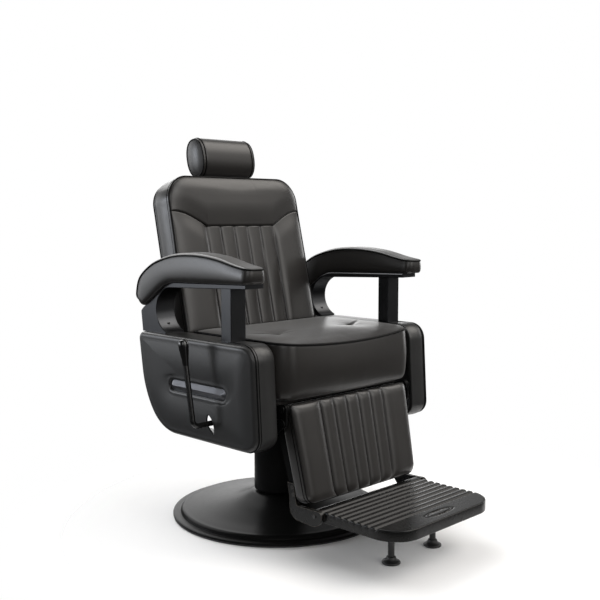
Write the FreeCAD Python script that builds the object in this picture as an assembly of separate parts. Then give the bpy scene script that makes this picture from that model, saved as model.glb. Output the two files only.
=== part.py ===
import FreeCAD, Part
import math
import os

from FreeCAD import Vector as V

# Driving dimensions in millimetres. Origin on the floor on the column axis, +Z up, the sitter faces -Y.

# base and column
BASE_R = 310.0
RIM_IN_R = 285.0
EDGE_H = 5.0
DISH_TOP_Z = 66.5
DISH_WALL = 4.0
SOCKET_R = 38.0
BUSH_R = 34.0
SOCKET_TOP_Z = 70.0
FLANGE_R = 62.0
FLANGE_H = 8.0
RAM_R = 30.0
RAM_FOOT_Z = 9.0
PISTON_R = 65.92
PISTON_Z = (285.0, 303.0)
COLUMN_R = 71.6
COLUMN_BORE_R = 66.0
COLUMN_Z = (71.0, 328.0)
GLAND_Z = (80.0, 104.0)
RUN_GAP = 0.05

# seat frame
PLATE_HALF = 110.0
PLATE_T = 12.0
RAIL_X = (205.0, 235.0)
RAIL_Y = (-235.0, 96.0)
RAIL_Z = (352.0, 388.0)
CROSS_Y = (-140.0, 78.0)
CROSS_HALF = 18.0
LUG_T = 6.0
ARM_GAP = 1.0
SEAT_BOARD_T = 14.0

# pivots as (y, z)
BACK_PIVOT = (150.0, 430.0)
LEG_PIVOT = (-274.0, 382.0)
LINK_DROP = 36.0
LEVER_PIVOT = (-110.0, 337.0)
FOOT_PIVOT = (-356.0, 117.0)
PEDAL_PIVOT = (98.0, 170.0)
BACK_TUBE_R = 14.0
LEG_PIN_R = 6.0
LINK_PIN_R = 5.0
FOOT_PIN_R = 5.0

# side panels, arms
PANEL_X = (272.0, 352.0)
PANEL_TOP = 550.0
PANEL_LOW = 283.0
PANEL_WALL = 14.0
PANEL_SKIN = 13.0
PANEL_ROUND = 11.0
ARM_X = (276.0, 338.0)
POST_X = (284.0, 334.0)
POST_Y = (-178.0, -138.0)
PAD_X = (281.0, 351.0)
TRIM_LEN = 232.0
TRIM_H = 31.0
TRIM_C = (-59.0, 417.5)

# back, tilted about the X axis; local depth runs rearward, local height up the back
BACK_TILT = 12.5
BACK_AT = (112.0, 620.0)
BACK_HALF = 255.0
CUSHION_T = 50.0
BOARD_T = 12.0
COVER_T = 28.0
COVER_SKIN = 8.0
SEAM_X = 131.0
CHANNELS = 5

# leg rest, tilted; local depth runs rearward, local height runs up from the top edge
LEG_TILT = 11.7
LEG_AT = (-285.0, 392.0)
LEG_LEN = 256.0
CALF_T = 45.0
CALF_BOARD_T = 10.0
CALF_HALF_TOP = 236.4
CALF_HALF_LOW = 216.0

# foot plate
PLATE_X = 205.5
PLATE_Y = (-617.0, -342.0)
PLATE_Z = (103.0, 131.0)
PLATE_CORNER = 76.0
RIB_FIRST_Y = -374.5
RIB_PITCH = 21.4
RIB_COUNT = 9
FOOT_AT = (86.0, -498.0)

# locking strut
STRUT_X = 152.0
STRUT_ARM = 95.0
RECLINE = 45.0


def save(name, shape):
    """Write one node as a STEP file."""
    shape.exportStep("parts/%s.step" % name)


def box(x, y, z):
    """Box between three (low, high) pairs."""
    return Part.makeBox(x[1] - x[0], y[1] - y[0], z[1] - z[0], V(x[0], y[0], z[0]))


def rod_x(y, z, r, x0, x1):
    return Part.makeCylinder(r, x1 - x0, V(x0, y, z), V(1, 0, 0))


def rod_y(x, z, r, y0, y1):
    return Part.makeCylinder(r, y1 - y0, V(x, y0, z), V(0, 1, 0))


def rod_z(x, y, r, z0, z1):
    return Part.makeCylinder(r, z1 - z0, V(x, y, z0), V(0, 0, 1))


def ring_z(r0, r1, z0, z1):
    return rod_z(0, 0, r1, z0, z1).cut(rod_z(0, 0, r0, z0, z1))


def fuse(shapes):
    """One solid from several that overlap or touch."""
    whole = shapes[0].multiFuse(shapes[1:]) if len(shapes) > 1 else shapes[0]
    return whole.removeSplitter()


def group(shapes):
    return Part.makeCompound(shapes)


def mirror_x(shape):
    return shape.mirror(V(0, 0, 0), V(1, 0, 0))


def both_sides(shape):
    return [shape, mirror_x(shape)]


def wire(at, start, *steps):
    """Closed wire from 2D points: a step is a point for a line, or a (middle, end) pair for an arc."""
    edges = []
    here = start
    for step in steps + (start,):
        if isinstance(step[0], tuple):
            edges.append(Part.Arc(at(here), at(step[0]), at(step[1])).toShape())
            here = step[1]
        elif math.dist(here, step) > 1e-6:
            edges.append(Part.makeLine(at(here), at(step)))
            here = step
    return Part.Wire(edges)


def rounded(corners):
    """Start and steps of a closed outline whose (a, b, radius) corners are joined by tangent arcs."""
    count = len(corners)
    steps = []
    for i, (a, b, r) in enumerate(corners):
        here, past, ahead = V(a, b, 0), V(*corners[i - 1][:2], 0), V(*corners[(i + 1) % count][:2], 0)
        back, on = (past - here).normalize(), (ahead - here).normalize()
        half = math.acos(max(-1, min(1, back.dot(on)))) / 2
        reach = r / math.tan(half)
        middle = here + (back + on).normalize() * (r / math.sin(half) - r)
        p, q = here + back * reach, here + on * reach
        steps += [(p.x, p.y), ((middle.x, middle.y), (q.x, q.y))]
    return steps


def plate_x(x, start, *steps):
    """Outline in (y, z) made into a plate between two x values."""
    face = Part.Face(wire(lambda p: V(x[0], p[0], p[1]), start, *steps))
    return face.extrude(V(x[1] - x[0], 0, 0))


def turned(start, *steps):
    """Outline in (radius, z) turned about the column axis."""
    face = Part.Face(wire(lambda p: V(p[0], 0, p[1]), start, *steps))
    return face.revolve(V(0, 0, 0), V(0, 0, 1), 360)


def rounded_plan(x, y, z, r):
    """Box whose four upright edges are rounded."""
    b = box(x, y, z)
    upright = [e for e in b.Edges if abs(e.tangentAt(e.FirstParameter).z) > 0.9]
    return b.makeFillet(r, upright)


def soft(sections):
    """Solid through closed sections, straight from each to the next."""
    return Part.makeLoft(sections, True, True)


def in_back(shape):
    """Move a piece from back coordinates to its tilted place."""
    s = shape.copy()
    s.rotate(V(0, 0, 0), V(1, 0, 0), -BACK_TILT)
    s.translate(V(0, BACK_AT[0], BACK_AT[1]))
    return s


def in_leg(shape):
    """Move a piece from leg rest coordinates to its tilted place."""
    s = shape.copy()
    s.rotate(V(0, 0, 0), V(1, 0, 0), -LEG_TILT)
    s.translate(V(0, LEG_AT[0], LEG_AT[1]))
    return s


def to_back(y, z):
    """Back coordinates of a point given in the part's frame."""
    c, s = math.cos(math.radians(BACK_TILT)), math.sin(math.radians(BACK_TILT))
    dy, dz = y - BACK_AT[0], z - BACK_AT[1]
    return (dy * c - dz * s, dy * s + dz * c)


def along_arc(a, middle, b, count):
    """Evenly spaced points on the arc from a through middle to b, without a itself."""
    arc = Part.Arc(V(*a, 0), V(*middle, 0), V(*b, 0)).toShape()
    return [(p.x, p.y) for p in arc.discretize(count + 1)[1:]]


def ease(t):
    """Smooth step from 0 to 1."""
    t = max(0.0, min(1.0, t))
    return t * t * (3 - 2 * t)


# base

def base_shell():
    """Spun dish: flat rim, rounded step, then a slope that steepens to the column."""
    t = DISH_WALL
    step, shoulder, knee, neck = (288.5, 11), (268, 23), (150, 38.5), (76, DISH_TOP_Z)
    slope = along_arc(shoulder, (212, 28.5), knee, 4) + along_arc(knee, (111.8, 49.4), neck, 4)
    under = [(r, z - t) for r, z in reversed([shoulder] + slope[1::2])]
    return turned((RIM_IN_R, EDGE_H), (BASE_R, EDGE_H), (BASE_R, 9), (BASE_R - 2, 11), step,
                  *along_arc(step, (284.6, 19), (276, 22.6), 3), shoulder, *slope,
                  (SOCKET_R, DISH_TOP_Z), (SOCKET_R, DISH_TOP_Z - t), *under, (275, 18.6), (281.5, 15.8),
                  (284.6, 9.5))


def base_socket():
    tube = ring_z(BUSH_R, SOCKET_R, EDGE_H, SOCKET_TOP_Z)
    flange = ring_z(BUSH_R, FLANGE_R, EDGE_H, EDGE_H + FLANGE_H)
    for x, y in bolt_circle():
        flange = flange.cut(rod_z(x, y, 5.5, 0, 20))
    return fuse([tube, flange])


def bolt_circle():
    return [(50 * math.cos(a), 50 * math.sin(a)) for a in [math.radians(45 + 90 * i) for i in range(4)]]


def hex_bolt(x, y, seat_z, up, shank_r, shank, head):
    """Hex bolt: the head lies on seat_z on the side given by up, the shank runs the other way."""
    r = 1.8 * shank_r
    corners = [(r * math.cos(math.pi * k / 3), r * math.sin(math.pi * k / 3)) for k in range(7)]
    hexagon = Part.makePolygon([V(x + a, y + b, seat_z) for a, b in corners])
    top = Part.Face(hexagon).extrude(V(0, 0, up * head))
    return fuse([top, Part.makeCylinder(shank_r, shank, V(x, y, seat_z), V(0, 0, -up))])


def base_bolts():
    seat = EDGE_H + FLANGE_H
    return group([hex_bolt(x, y, seat, 1, 5, FLANGE_H, 7) for x, y in bolt_circle()])


def build_base():
    save("base_shell", base_shell())
    save("base_edge_ring", turned((RIM_IN_R, 0), (BASE_R - 2, 0), (BASE_R - 1, 1), (BASE_R - 1, EDGE_H),
                                  (RIM_IN_R, EDGE_H)))
    save("base_floor_plate", rod_z(0, 0, RIM_IN_R, 0, EDGE_H))
    save("base_socket", base_socket())
    save("base_bush", ring_z(RAM_R + RUN_GAP, BUSH_R, RAM_FOOT_Z, SOCKET_TOP_Z - 2))
    save("base_thrust_washer", rod_z(0, 0, BUSH_R, EDGE_H, RAM_FOOT_Z))
    save("base_bolts", base_bolts())


# column

def pump_housing():
    z0, z1 = COLUMN_Z
    return turned((COLUMN_BORE_R, z0), (COLUMN_R - 3, z0), (COLUMN_R, z0 + 3), (COLUMN_R, z1),
                  (COLUMN_BORE_R, z1))


def plate_bolt_spots():
    d = PLATE_HALF - 22
    return [(sx * d, sy * d) for sx in (-1, 1) for sy in (-1, 1)]


def pump_plate():
    z0 = COLUMN_Z[1]
    plate = rounded_plan((-PLATE_HALF, PLATE_HALF), (-PLATE_HALF, PLATE_HALF), (z0, z0 + PLATE_T), 14)
    for x, y in plate_bolt_spots():
        plate = plate.cut(rod_z(x, y, 6.5, z0 - 1, z0 + PLATE_T + 1))
    return plate


def pedal_bracket():
    px, pz = PEDAL_PIVOT
    body = box((58, px + 15), (-22, 22), (pz - 22, pz + 22))
    body = body.cut(rod_z(0, 0, COLUMN_R, 100, 250))
    body = body.cut(box((px - 17, px + 20), (-11, 11), (pz - 30, pz + 30)))
    return body.cut(rod_y(px, pz, 5, -30, 30))


def pedal_lever():
    px, pz = PEDAL_PIVOT
    at = lambda p: V(p[0], -10.5, p[1])
    arm = Part.Face(wire(at, (px - 3, pz + 12), (px + 16, pz + 11), (300, 138), (394, 138), (394, 130),
                         (300, 126), (px + 14, pz - 13), (px - 3, pz - 12))).extrude(V(0, 21, 0))
    boss = rod_y(px, pz, 13, -10.5, 10.5)
    tread = rounded_plan((316, 396), (-48, 48), (130, 138), 10)
    return fuse([arm, boss, tread]).cut(rod_y(px, pz, 5 + RUN_GAP, -30, 30))


def build_column():
    save("ram", fuse([rod_z(0, 0, RAM_R, RAM_FOOT_Z, PISTON_Z[0]),
                      rod_z(0, 0, PISTON_R, PISTON_Z[0], PISTON_Z[1])]))
    save("pump_housing", pump_housing())
    save("pump_gland", ring_z(RAM_R + RUN_GAP, COLUMN_BORE_R, GLAND_Z[0], GLAND_Z[1]))
    save("pump_plate", pump_plate())
    z0 = COLUMN_Z[1]
    save("pump_bolts", group([hex_bolt(x, y, z0, -1, 6, 2 * PLATE_T, 8) for x, y in plate_bolt_spots()]))
    px, pz = PEDAL_PIVOT
    save("pedal_bracket", pedal_bracket())
    save("pedal_pin", rod_y(px, pz, 5, -25, 25))
    save("pedal_lever", pedal_lever())
    save("pedal_pad", rounded_plan((318, 394), (-46, 46), (138, 146), 10))


# seat frame

LUG_X = (RAIL_X[1], RAIL_X[1] + LUG_T)
ARM_PLATE_X = (RAIL_X[1] + LUG_T + ARM_GAP, RAIL_X[1] + 2 * LUG_T + ARM_GAP)
LINK_X = (ARM_PLATE_X[1] + 1.5, ARM_PLATE_X[1] + 6.5)


def front_lug():
    y, z = LEG_PIVOT
    plate = plate_x(LUG_X, (-150, RAIL_Z[0]), (-150, 387.5), (-251, 387.5), (y, z + 13), (y, z - 13),
                    (-190, RAIL_Z[0]))
    return fuse([plate, rod_x(y, z, 13, *LUG_X)]).cut(rod_x(y, z, LEG_PIN_R, 200, 300))


def rear_lug():
    y, z = BACK_PIVOT
    plate = plate_x(LUG_X, (30, RAIL_Z[0]), (30, 387.5), (98, 387.5), (y - 22, z + 10), (y, z + 24),
                    (y + 24, z), (y + 6, z - 24), (96, RAIL_Z[0]))
    return fuse([plate, rod_x(y, z, 24, *LUG_X)]).cut(rod_x(y, z, BACK_TUBE_R + RUN_GAP, 200, 300))


def panel_bracket(y0):
    """Flat bar under the rail with an upright end that meets the side panel's skin."""
    skin = PANEL_X[1] - PANEL_SKIN
    bar = box((RAIL_X[0], skin), (y0, y0 + 40), (RAIL_Z[0] - 8, RAIL_Z[0]))
    end = box((skin - 6, skin), (y0, y0 + 40), (RAIL_Z[0] - 44, RAIL_Z[0]))
    for z in PANEL_BOLT_Z:
        end = end.cut(rod_x(y0 + 20, z, 4, skin - 10, skin + 1))
    return fuse([bar, end])


PANEL_BRACKET_Y = (-24.0, 44.0)
PANEL_BOLT_Z = (318.0, 334.0)


def strut_lugs():
    sheet = ((STRUT_X - 14, STRUT_X - 8), (STRUT_X + 8, STRUT_X + 14))
    y, z = strut_anchor()
    front = CROSS_Y[0] - CROSS_HALF
    top = RAIL_Z[0] + 4
    lugs = [plate_x(x, (y - 14, z - 12), (y - 14, z + 12), (front - 4, top), (front + 12, top),
                    (front + 12, RAIL_Z[0]), (y + 12, z - 12)) for x in sheet]
    return [lug.cut(rod_x(y, z, 5, 100, 200)) for lug in lugs]


def strut_axis_z():
    half = math.radians(RECLINE / 2)
    return BACK_PIVOT[1] - STRUT_ARM * (1 + math.cos(half)) / 2


def strut_anchor():
    return (-182.0, strut_axis_z())


def strut_pin():
    """Place of the strut pin on the back frame at rest."""
    half = math.radians(RECLINE / 2)
    return (BACK_PIVOT[0] + STRUT_ARM * math.sin(half), BACK_PIVOT[1] - STRUT_ARM * math.cos(half))


def seat_frame():
    top = COLUMN_Z[1] + PLATE_T
    plate = box((-PLATE_HALF, PLATE_HALF), (CROSS_Y[0] - 5, CROSS_Y[1] + CROSS_HALF), (top, RAIL_Z[0]))
    for x, y in plate_bolt_spots():
        plate = plate.cut(rod_z(x, y, 6, top - 1, RAIL_Z[0] + 1))
    cross = [box((-RAIL_X[0], RAIL_X[0]), (y - CROSS_HALF, y + CROSS_HALF), RAIL_Z) for y in CROSS_Y]
    cross = [c.cut(box((-RAIL_X[0], RAIL_X[0]), (y - CROSS_HALF + 3, y + CROSS_HALF - 3),
                       (RAIL_Z[0] + 3, RAIL_Z[1] - 3))) for c, y in zip(cross, CROSS_Y)]
    parts = [plate] + cross + strut_lugs()
    rail = box(RAIL_X, RAIL_Y, RAIL_Z)
    parts += both_sides(rail) + both_sides(front_lug()) + both_sides(rear_lug())
    for y0 in PANEL_BRACKET_Y:
        parts += both_sides(panel_bracket(y0))
    y, z = LEVER_PIVOT
    ear = box((-LUG_X[1], -LUG_X[0]), (y - 26, y + 26), (z - 20, RAIL_Z[0] + 20))
    parts.append(ear)
    return fuse(parts).cut(rod_x(y, z, 10, -260, -220))


TUFT_AT = (150.0, -145.0)
TUFT_DEPTH = 11.0
SEAT_HALF = 264.0
SEAT_CORNER = 34.0
SEAT_FRONT = -287.0
SEAT_REAR = 70.0
SEAT_LOW = RAIL_Z[1] + SEAT_BOARD_T


def seat_section(x):
    """Side view of the cushion at x: bulging front, crown of two swells with the seam dip between them."""
    inner = SEAT_HALF - SEAT_CORNER
    over = max(0.0, abs(x) - inner)
    set_back = SEAT_CORNER - math.sqrt(max(0.0, SEAT_CORNER ** 2 - (0.97 * over) ** 2))
    front = SEAT_FRONT + set_back - 13 * (1 - (x / SEAT_HALF) ** 2)
    share = 1 - (x / SEAT_HALF) ** 2
    edge_z = 549 - 14 * share
    rise = 8 + 9 * math.sqrt(share)
    pull = math.exp(-((abs(x) - TUFT_AT[0]) / 42) ** 2)
    dip_z = edge_z + rise + 10 * share - 3 * share - TUFT_DEPTH * pull
    crest_f = edge_z + rise + 5 * share
    rear_z = edge_z + 3 + 12 * share
    crest_r = rear_z + rise * 0.5
    ym = TUFT_AT[1]
    low = SEAT_LOW + 10 * ease((abs(x) - 200) / 50)
    at = lambda p: V(x, p[0], p[1])
    return wire(at, (front + 16, low), ((front - 3, 470), (front + 2, edge_z)),
                (((front + ym) / 2, crest_f), (ym, dip_z)),
                (((ym + SEAT_REAR) / 2, crest_r), (SEAT_REAR - 8, rear_z)),
                ((SEAT_REAR, 480), (SEAT_REAR - 10, low)))


def seat_cushion():
    """Boxed cushion with a bulging wall, a crowned top and two sewn tufts."""
    inner = SEAT_HALF - SEAT_CORNER
    corner = [inner + SEAT_CORNER * math.sin(math.radians(a)) for a in (90, 66, 42, 20)]
    half = corner + [inner, 208, 190, 172, 150, 128, 106, 80, 50, 25]
    return soft([seat_section(x) for x in [-x for x in half] + [0] + half[::-1]])


def build_seat():
    save("seat_frame", seat_frame())
    save("seat_board", rounded_plan((-248, 248), (-249, 60), (RAIL_Z[1], RAIL_Z[1] + SEAT_BOARD_T), 24))
    save("seat_cushion", seat_cushion())
    y, z = strut_anchor()
    save("strut_front_pin", rod_x(y, z, 5, STRUT_X - 17, STRUT_X + 17))
    y, z = LEG_PIVOT
    pin = fuse([rod_x(y, z, LEG_PIN_R, RAIL_X[1] + 0.5, ARM_PLATE_X[1] + 1),
                rod_x(y, z, LEG_PIN_R + 3, ARM_PLATE_X[1] + 1, ARM_PLATE_X[1] + 4)])
    save("legrest_pins", group(both_sides(pin)))


# side panels

def panel_outline(x, inset=0.0):
    """Panel shape in (y, z): rounded front corners and a long sweep at the lower rear."""
    i = inset
    corners = [(-269 + i, PANEL_TOP - i, 44 - i), (-285 + i, PANEL_LOW + i, 40 - i),
               (106 - 0.6 * i, PANEL_LOW + i, 130 - 1.5 * i), (178 - i, 390, 250 - 1.5 * i),
               (202 - i, PANEL_TOP - i, 20 - 0.5 * i)]
    return plate_x(x, *rounded(corners))


def eye_hole(x):
    y, z = LEVER_PIVOT
    return plate_x(x, (y + 4, z + 24), ((y - 15, z + 4), (y - 18, z - 27)),
                   ((y + 15, z - 2), (y + 4, z + 24)))


def stadium(x, length, height):
    y, z = TRIM_C
    r = height / 2
    h = length / 2 - r
    return plate_x(x, (y - h, z + r), ((y - h - r, z), (y - h, z - r)), (y + h, z - r),
                   ((y + h + r, z), (y + h, z + r)))


def arm_bolt_spots():
    """(x, y) of the bolts that hold an arm frame and its post down on the panel."""
    xm = sum(ARM_X) / 2
    return [(xm, 120.0), (xm, 158.0), (sum(POST_X) / 2, sum(POST_Y) / 2)]


def side_panel(with_eye):
    """Upholstered tray open to the inside, with a rounded outer edge and a recess for the trim."""
    body = panel_outline(PANEL_X)
    outer = [e for e in body.Edges if all(abs(v.X - PANEL_X[1]) < 1e-4 for v in e.Vertexes)]
    body = body.makeFillet(PANEL_ROUND, outer)
    body = body.cut(panel_outline((PANEL_X[0] - 1, PANEL_X[1] - PANEL_SKIN), PANEL_WALL))
    body = body.cut(stadium((PANEL_X[1] - 7, PANEL_X[1] + 1), TRIM_LEN, TRIM_H))
    for x, y in arm_bolt_spots():
        body = body.cut(rod_z(x, y, 6, PANEL_TOP - 40, PANEL_TOP + 1))
    for y0 in PANEL_BRACKET_Y:
        for z in PANEL_BOLT_Z:
            body = body.cut(rod_x(y0 + 20, z, 4, PANEL_X[1] - PANEL_SKIN - 1, PANEL_X[1] - 5))
    if with_eye:
        body = body.cut(eye_hole((PANEL_X[0], PANEL_X[1] + 1)))
    return body


def side_trim():
    """Metal bar with a ridge along its middle and cone-shaped ends."""
    y, z = TRIM_C
    r = TRIM_H / 2 - 1.5
    h = TRIM_LEN / 2 - TRIM_H / 2
    x0 = PANEL_X[1] - 7
    at = lambda p: V(x0 + p[0], y - h, z + p[1])
    roof = Part.Face(wire(at, (0, -r), (2, -r), (8.5, 0), (2, r), (0, r))).extrude(V(0, 2 * h, 0))
    ends = []
    for e in (y - h, y + h):
        ends.append(Part.makeCylinder(r, 2, V(x0, e, z), V(1, 0, 0)))
        ends.append(Part.makeCone(r, 0, 6.5, V(x0 + 2, e, z), V(1, 0, 0)))
    return fuse([roof] + ends)


def panel_bolts():
    skin = PANEL_X[1] - PANEL_SKIN
    bolts = []
    for y0 in PANEL_BRACKET_Y:
        for z in PANEL_BOLT_Z:
            head = rod_x(y0 + 20, z, 7, skin - 11, skin - 6)
            bolts.append(fuse([head, rod_x(y0 + 20, z, 4, skin - 6, skin + 8)]))
    return bolts


# arms

ARM_FRONT_Y = -237.0
HOLE_C = (68.0, 614.0)
HOLE_R = 63.0


def arm_frame():
    """Flat strip under the pad running into a C-shaped rear that stands on the panel."""
    y, z = HOLE_C
    foot = math.radians(70)
    toe = (y + HOLE_R * math.cos(foot), z - HOLE_R * math.sin(foot))
    frame = plate_x(ARM_X, (ARM_FRONT_Y, 689), (ARM_FRONT_Y, 700), (44, 692), ((84, 683), (118, 661)),
                    (172, 626), ((188, 619), (203, 606)), (196, PANEL_TOP), (toe[0], PANEL_TOP), toe,
                    ((y + HOLE_R, z), (y, z + HOLE_R)))
    rims = [e for e in frame.Edges if e.BoundBox.XLength < 1e-3 and e.BoundBox.ZMax > PANEL_TOP + 1]
    frame = frame.makeChamfer(1.6, rims)
    for x, yy in arm_bolt_spots()[:2]:
        frame = frame.cut(rod_z(x, yy, 6, PANEL_TOP - 1, PANEL_TOP + 26))
    return frame


def strip_under(y):
    """Height of the strip's underside at y."""
    z1 = HOLE_C[1] + HOLE_R
    t = (HOLE_C[0] - y) / (HOLE_C[0] - ARM_FRONT_Y)
    return z1 + t * (689 - z1)


def arm_post():
    y0, y1 = POST_Y
    post = plate_x(POST_X, (y0, PANEL_TOP), (y1, PANEL_TOP), (y1, strip_under(y1)), (y0, strip_under(y0)))
    upright = [e for e in post.Edges if e.BoundBox.ZLength > 100]
    post = post.makeFillet(3, upright)
    x, y = arm_bolt_spots()[2]
    return post.cut(rod_z(x, y, 6, PANEL_TOP - 1, PANEL_TOP + 26))


def pad_section(low, high, squash):
    """Section of an arm pad between an underside point and a crown point given as (y, z)."""
    low, high = V(0, *low), V(0, *high)
    up = high - low
    height = up.Length
    up = up * (1 / height)
    xm, half = sum(PAD_X) / 2, (PAD_X[1] - PAD_X[0]) / 2 * squash
    at = lambda p: low + up * p[1] + V(xm + p[0], 0, 0)
    edge = half - 2.5
    rim = height - 8
    return wire(at, (-edge, 0), (edge, 0), ((half, rim * 0.5), (edge, rim)),
                ((edge - 1.2, rim + 2.6), (edge - 4, rim + 4)), ((0, height), (-edge + 4, rim + 4)),
                ((-edge + 1.2, rim + 2.6), (-edge, rim)), ((-half, rim * 0.5), (-edge, 0)))


def arm_pad():
    rows = [((-255, 701.5), (-255, 744), 0.95), ((-225, 700.6), (-225, 748), 1),
            ((-190, 699.8), (-190, 754.5), 1), ((-150, 698.7), (-150, 762), 1),
            ((-110, 697.6), (-110, 768), 1), ((-70, 696.5), (-70, 771), 1),
            ((-30, 695.4), (-30, 772), 1), ((10, 694.3), (12, 770), 1),
            ((46, 693.4), (58, 764), 1), ((78.5, 687), (104, 754), 1),
            ((108.6, 670), (148, 738), 1), ((136.6, 651.5), (184, 714), 1),
            ((160.6, 636), (208, 686), 1), ((178.5, 626.3), (219, 658), 0.98),
            ((191.5, 619.5), (216, 634), 0.95)]
    return soft([pad_section(*row) for row in rows])


def arm_bolts():
    bolts = []
    for x, y in arm_bolt_spots():
        bolts.append(hex_bolt(x, y, PANEL_TOP - PANEL_WALL, -1, 6, PANEL_WALL + 24, 8))
    return bolts


def build_sides():
    right = {"side_panel": side_panel(True), "side_trim": side_trim(), "arm_frame": arm_frame(),
             "arm_post": arm_post(), "arm_pad": arm_pad()}
    for name, shape in right.items():
        save(name + "_right", mirror_x(shape))
    right["side_panel"] = side_panel(False)
    for name, shape in right.items():
        save(name + "_left", shape)
    save("arm_bolts", group([s for b in arm_bolts() for s in both_sides(b)]))
    save("panel_bolts", group([s for b in panel_bolts() for s in both_sides(b)]))


# lever

LEVER_R = 7.0
LEVER_OUT_X = -404.0
LEVER_LEAN = 10.2
GRIP_FROM = 158.0
GRIP_TO = 222.0
GRIP_R = 14.5
GRIP_ROUND = 7.0


def lever_rod():
    y, z = LEVER_PIVOT
    bend = 16.0
    k = bend * (1 - math.sqrt(0.5))
    x0, xb = -228.0, LEVER_OUT_X
    path = Part.Wire([Part.makeLine(V(x0, 0, 0), V(xb + bend, 0, 0)),
                      Part.Arc(V(xb + bend, 0, 0), V(xb + k, 0, k), V(xb, 0, bend)).toShape(),
                      Part.makeLine(V(xb, 0, bend), V(xb, 0, GRIP_TO - 14))])
    start = Part.Wire([Part.makeCircle(LEVER_R, V(x0, 0, 0), V(1, 0, 0))])
    rod = path.makePipeShell([start], True, False)
    return lean(rod, y, z)


def lean(shape, y, z):
    shape.rotate(V(0, 0, 0), V(1, 0, 0), -LEVER_LEAN)
    shape.translate(V(0, y, z))
    return shape


def lever_grip():
    r, top = GRIP_R, GRIP_ROUND
    k = top * math.sqrt(0.5)
    crown = along_arc((r, GRIP_TO - top), (r - top + k, GRIP_TO - top + k), (r - top, GRIP_TO), 3)
    body = turned((0, GRIP_FROM), (9.5, GRIP_FROM), (11.5, GRIP_FROM + 2.5), (r, GRIP_TO - 20),
                  (r, GRIP_TO - top), *crown, (0, GRIP_TO))
    body = body.cut(rod_z(0, 0, LEVER_R, GRIP_FROM - 1, GRIP_TO - 14))
    body.translate(V(LEVER_OUT_X, 0, 0))
    return lean(body, *LEVER_PIVOT)


def build_lever():
    y, z = LEVER_PIVOT
    save("lever_rod", lever_rod())
    save("lever_grip", lever_grip())
    bush = rod_x(y, z, 10, -LUG_X[1] - 2, -LUG_X[0] + 2).cut(rod_x(y, z, LEVER_R + RUN_GAP, -300, -200))
    save("lever_bush", bush)


# back

def channel_section(at, half, seams, edge_y, seam_y, mid_y, back_y):
    """Cross-section of a channelled pad: seven arcs across the front, straight sides and back."""
    xs = [-half] + seams + [half]
    ys = [edge_y] + seam_y + [edge_y]
    steps = []
    for i in range(len(xs) - 1):
        steps.append((((xs[i] + xs[i + 1]) / 2, mid_y[i]), (xs[i + 1], ys[i + 1])))
    return wire(at, (-half, edge_y), *steps, (half, back_y), (-half, back_y))


def seam_lines(outer):
    return [outer * (2 * i / CHANNELS - 1) for i in range(CHANNELS + 1)]


def yoke(x, half, rise):
    """Depth of the smooth upper panel at x."""
    return 4 - rise * (1 - (x / half) ** 2)


BACK_LOW = -92.0
BACK_HIGH = 370.0
YOKE_AT = 222.0
YOKE_CLIMB = 26.0
BACK_CORNER = 72.0


def back_row(height):
    """One section of the back cushion: channels and bolsters lead over to the smooth yoke at its seam."""
    over = max(0.0, height - (BACK_HIGH - BACK_CORNER))
    half = BACK_HALF - 4 * ease(height / 300) - BACK_CORNER
    half += math.sqrt(max(0.0, BACK_CORNER ** 2 - (0.985 * over) ** 2))
    foot = 0.3 + 0.7 * ease((height - BACK_LOW) / 36)
    seam_z = (YOKE_AT, YOKE_AT + YOKE_CLIMB)
    crown, side_crown = [foot * (0.15 + 0.85 * ease((z - height) / 34)) for z in seam_z]
    blend, side_blend = [ease((height - z + 20) / 36) for z in seam_z]
    rise = 6 + 15 * ease((height - YOKE_AT) / 34) * ease((BACK_HIGH + 8 - height) / 60) ** 0.8
    seams = seam_lines(SEAM_X)
    edge = 6.0
    xs = [-half] + seams + [half]
    mids = [(a + b) / 2 for a, b in zip(xs, xs[1:])]
    bolster = edge - 28.0 * side_crown
    low_mid = [bolster] + [4 - 9.0 * crown] * CHANNELS + [bolster]
    low_seam = [edge - 2 * crown] * (CHANNELS + 1)
    share = [side_blend] + [blend] * CHANNELS + [side_blend]
    mid_y = [(1 - t) * m + t * yoke(x, half, rise) for m, x, t in zip(low_mid, mids, share)]
    seam_y = [(1 - blend) * m + blend * yoke(x, half, rise) for m, x in zip(low_seam, seams)]
    return channel_section(lambda p: V(p[0], p[1], height), half, seams, edge, seam_y, mid_y, CUSHION_T)


def back_cushion():
    """Five upright channels between two bolsters under a smooth yoke with rounded upper corners."""
    foot = [BACK_LOW + rise for rise in (0, 6, 14, 24, 36)]
    seam = [YOKE_AT + rise for rise in (-34, -24, -14, -4, 6, 16, 26, 38, 52)]
    corner = [BACK_HIGH - BACK_CORNER * (1 - math.sin(math.radians(a))) for a in (0, 20, 38, 54, 68, 79, 90)]
    return in_back(soft([back_row(height) for height in foot + seam + corner]))


def back_slab(half, low, high, r_top, depth):
    k = 1 - math.sqrt(0.5)
    at = lambda p: V(p[0], depth[0], p[1])
    face = Part.Face(wire(at, (-half, low), (half, low), (half, high - r_top),
                          ((half - k * r_top, high - k * r_top), (half - r_top, high)), (-half + r_top, high),
                          ((-half + k * r_top, high - k * r_top), (-half, high - r_top))))
    return face.extrude(V(0, depth[1] - depth[0], 0))


BOARD_Y = (CUSHION_T, CUSHION_T + BOARD_T)
COVER_Y = (CUSHION_T + BOARD_T, CUSHION_T + BOARD_T + COVER_T)
BAR_X = 19.8
BAR_Y = (COVER_Y[0] + 6, COVER_Y[0] + 16)
GUIDE_Z = (205.0, 345.0)


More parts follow.
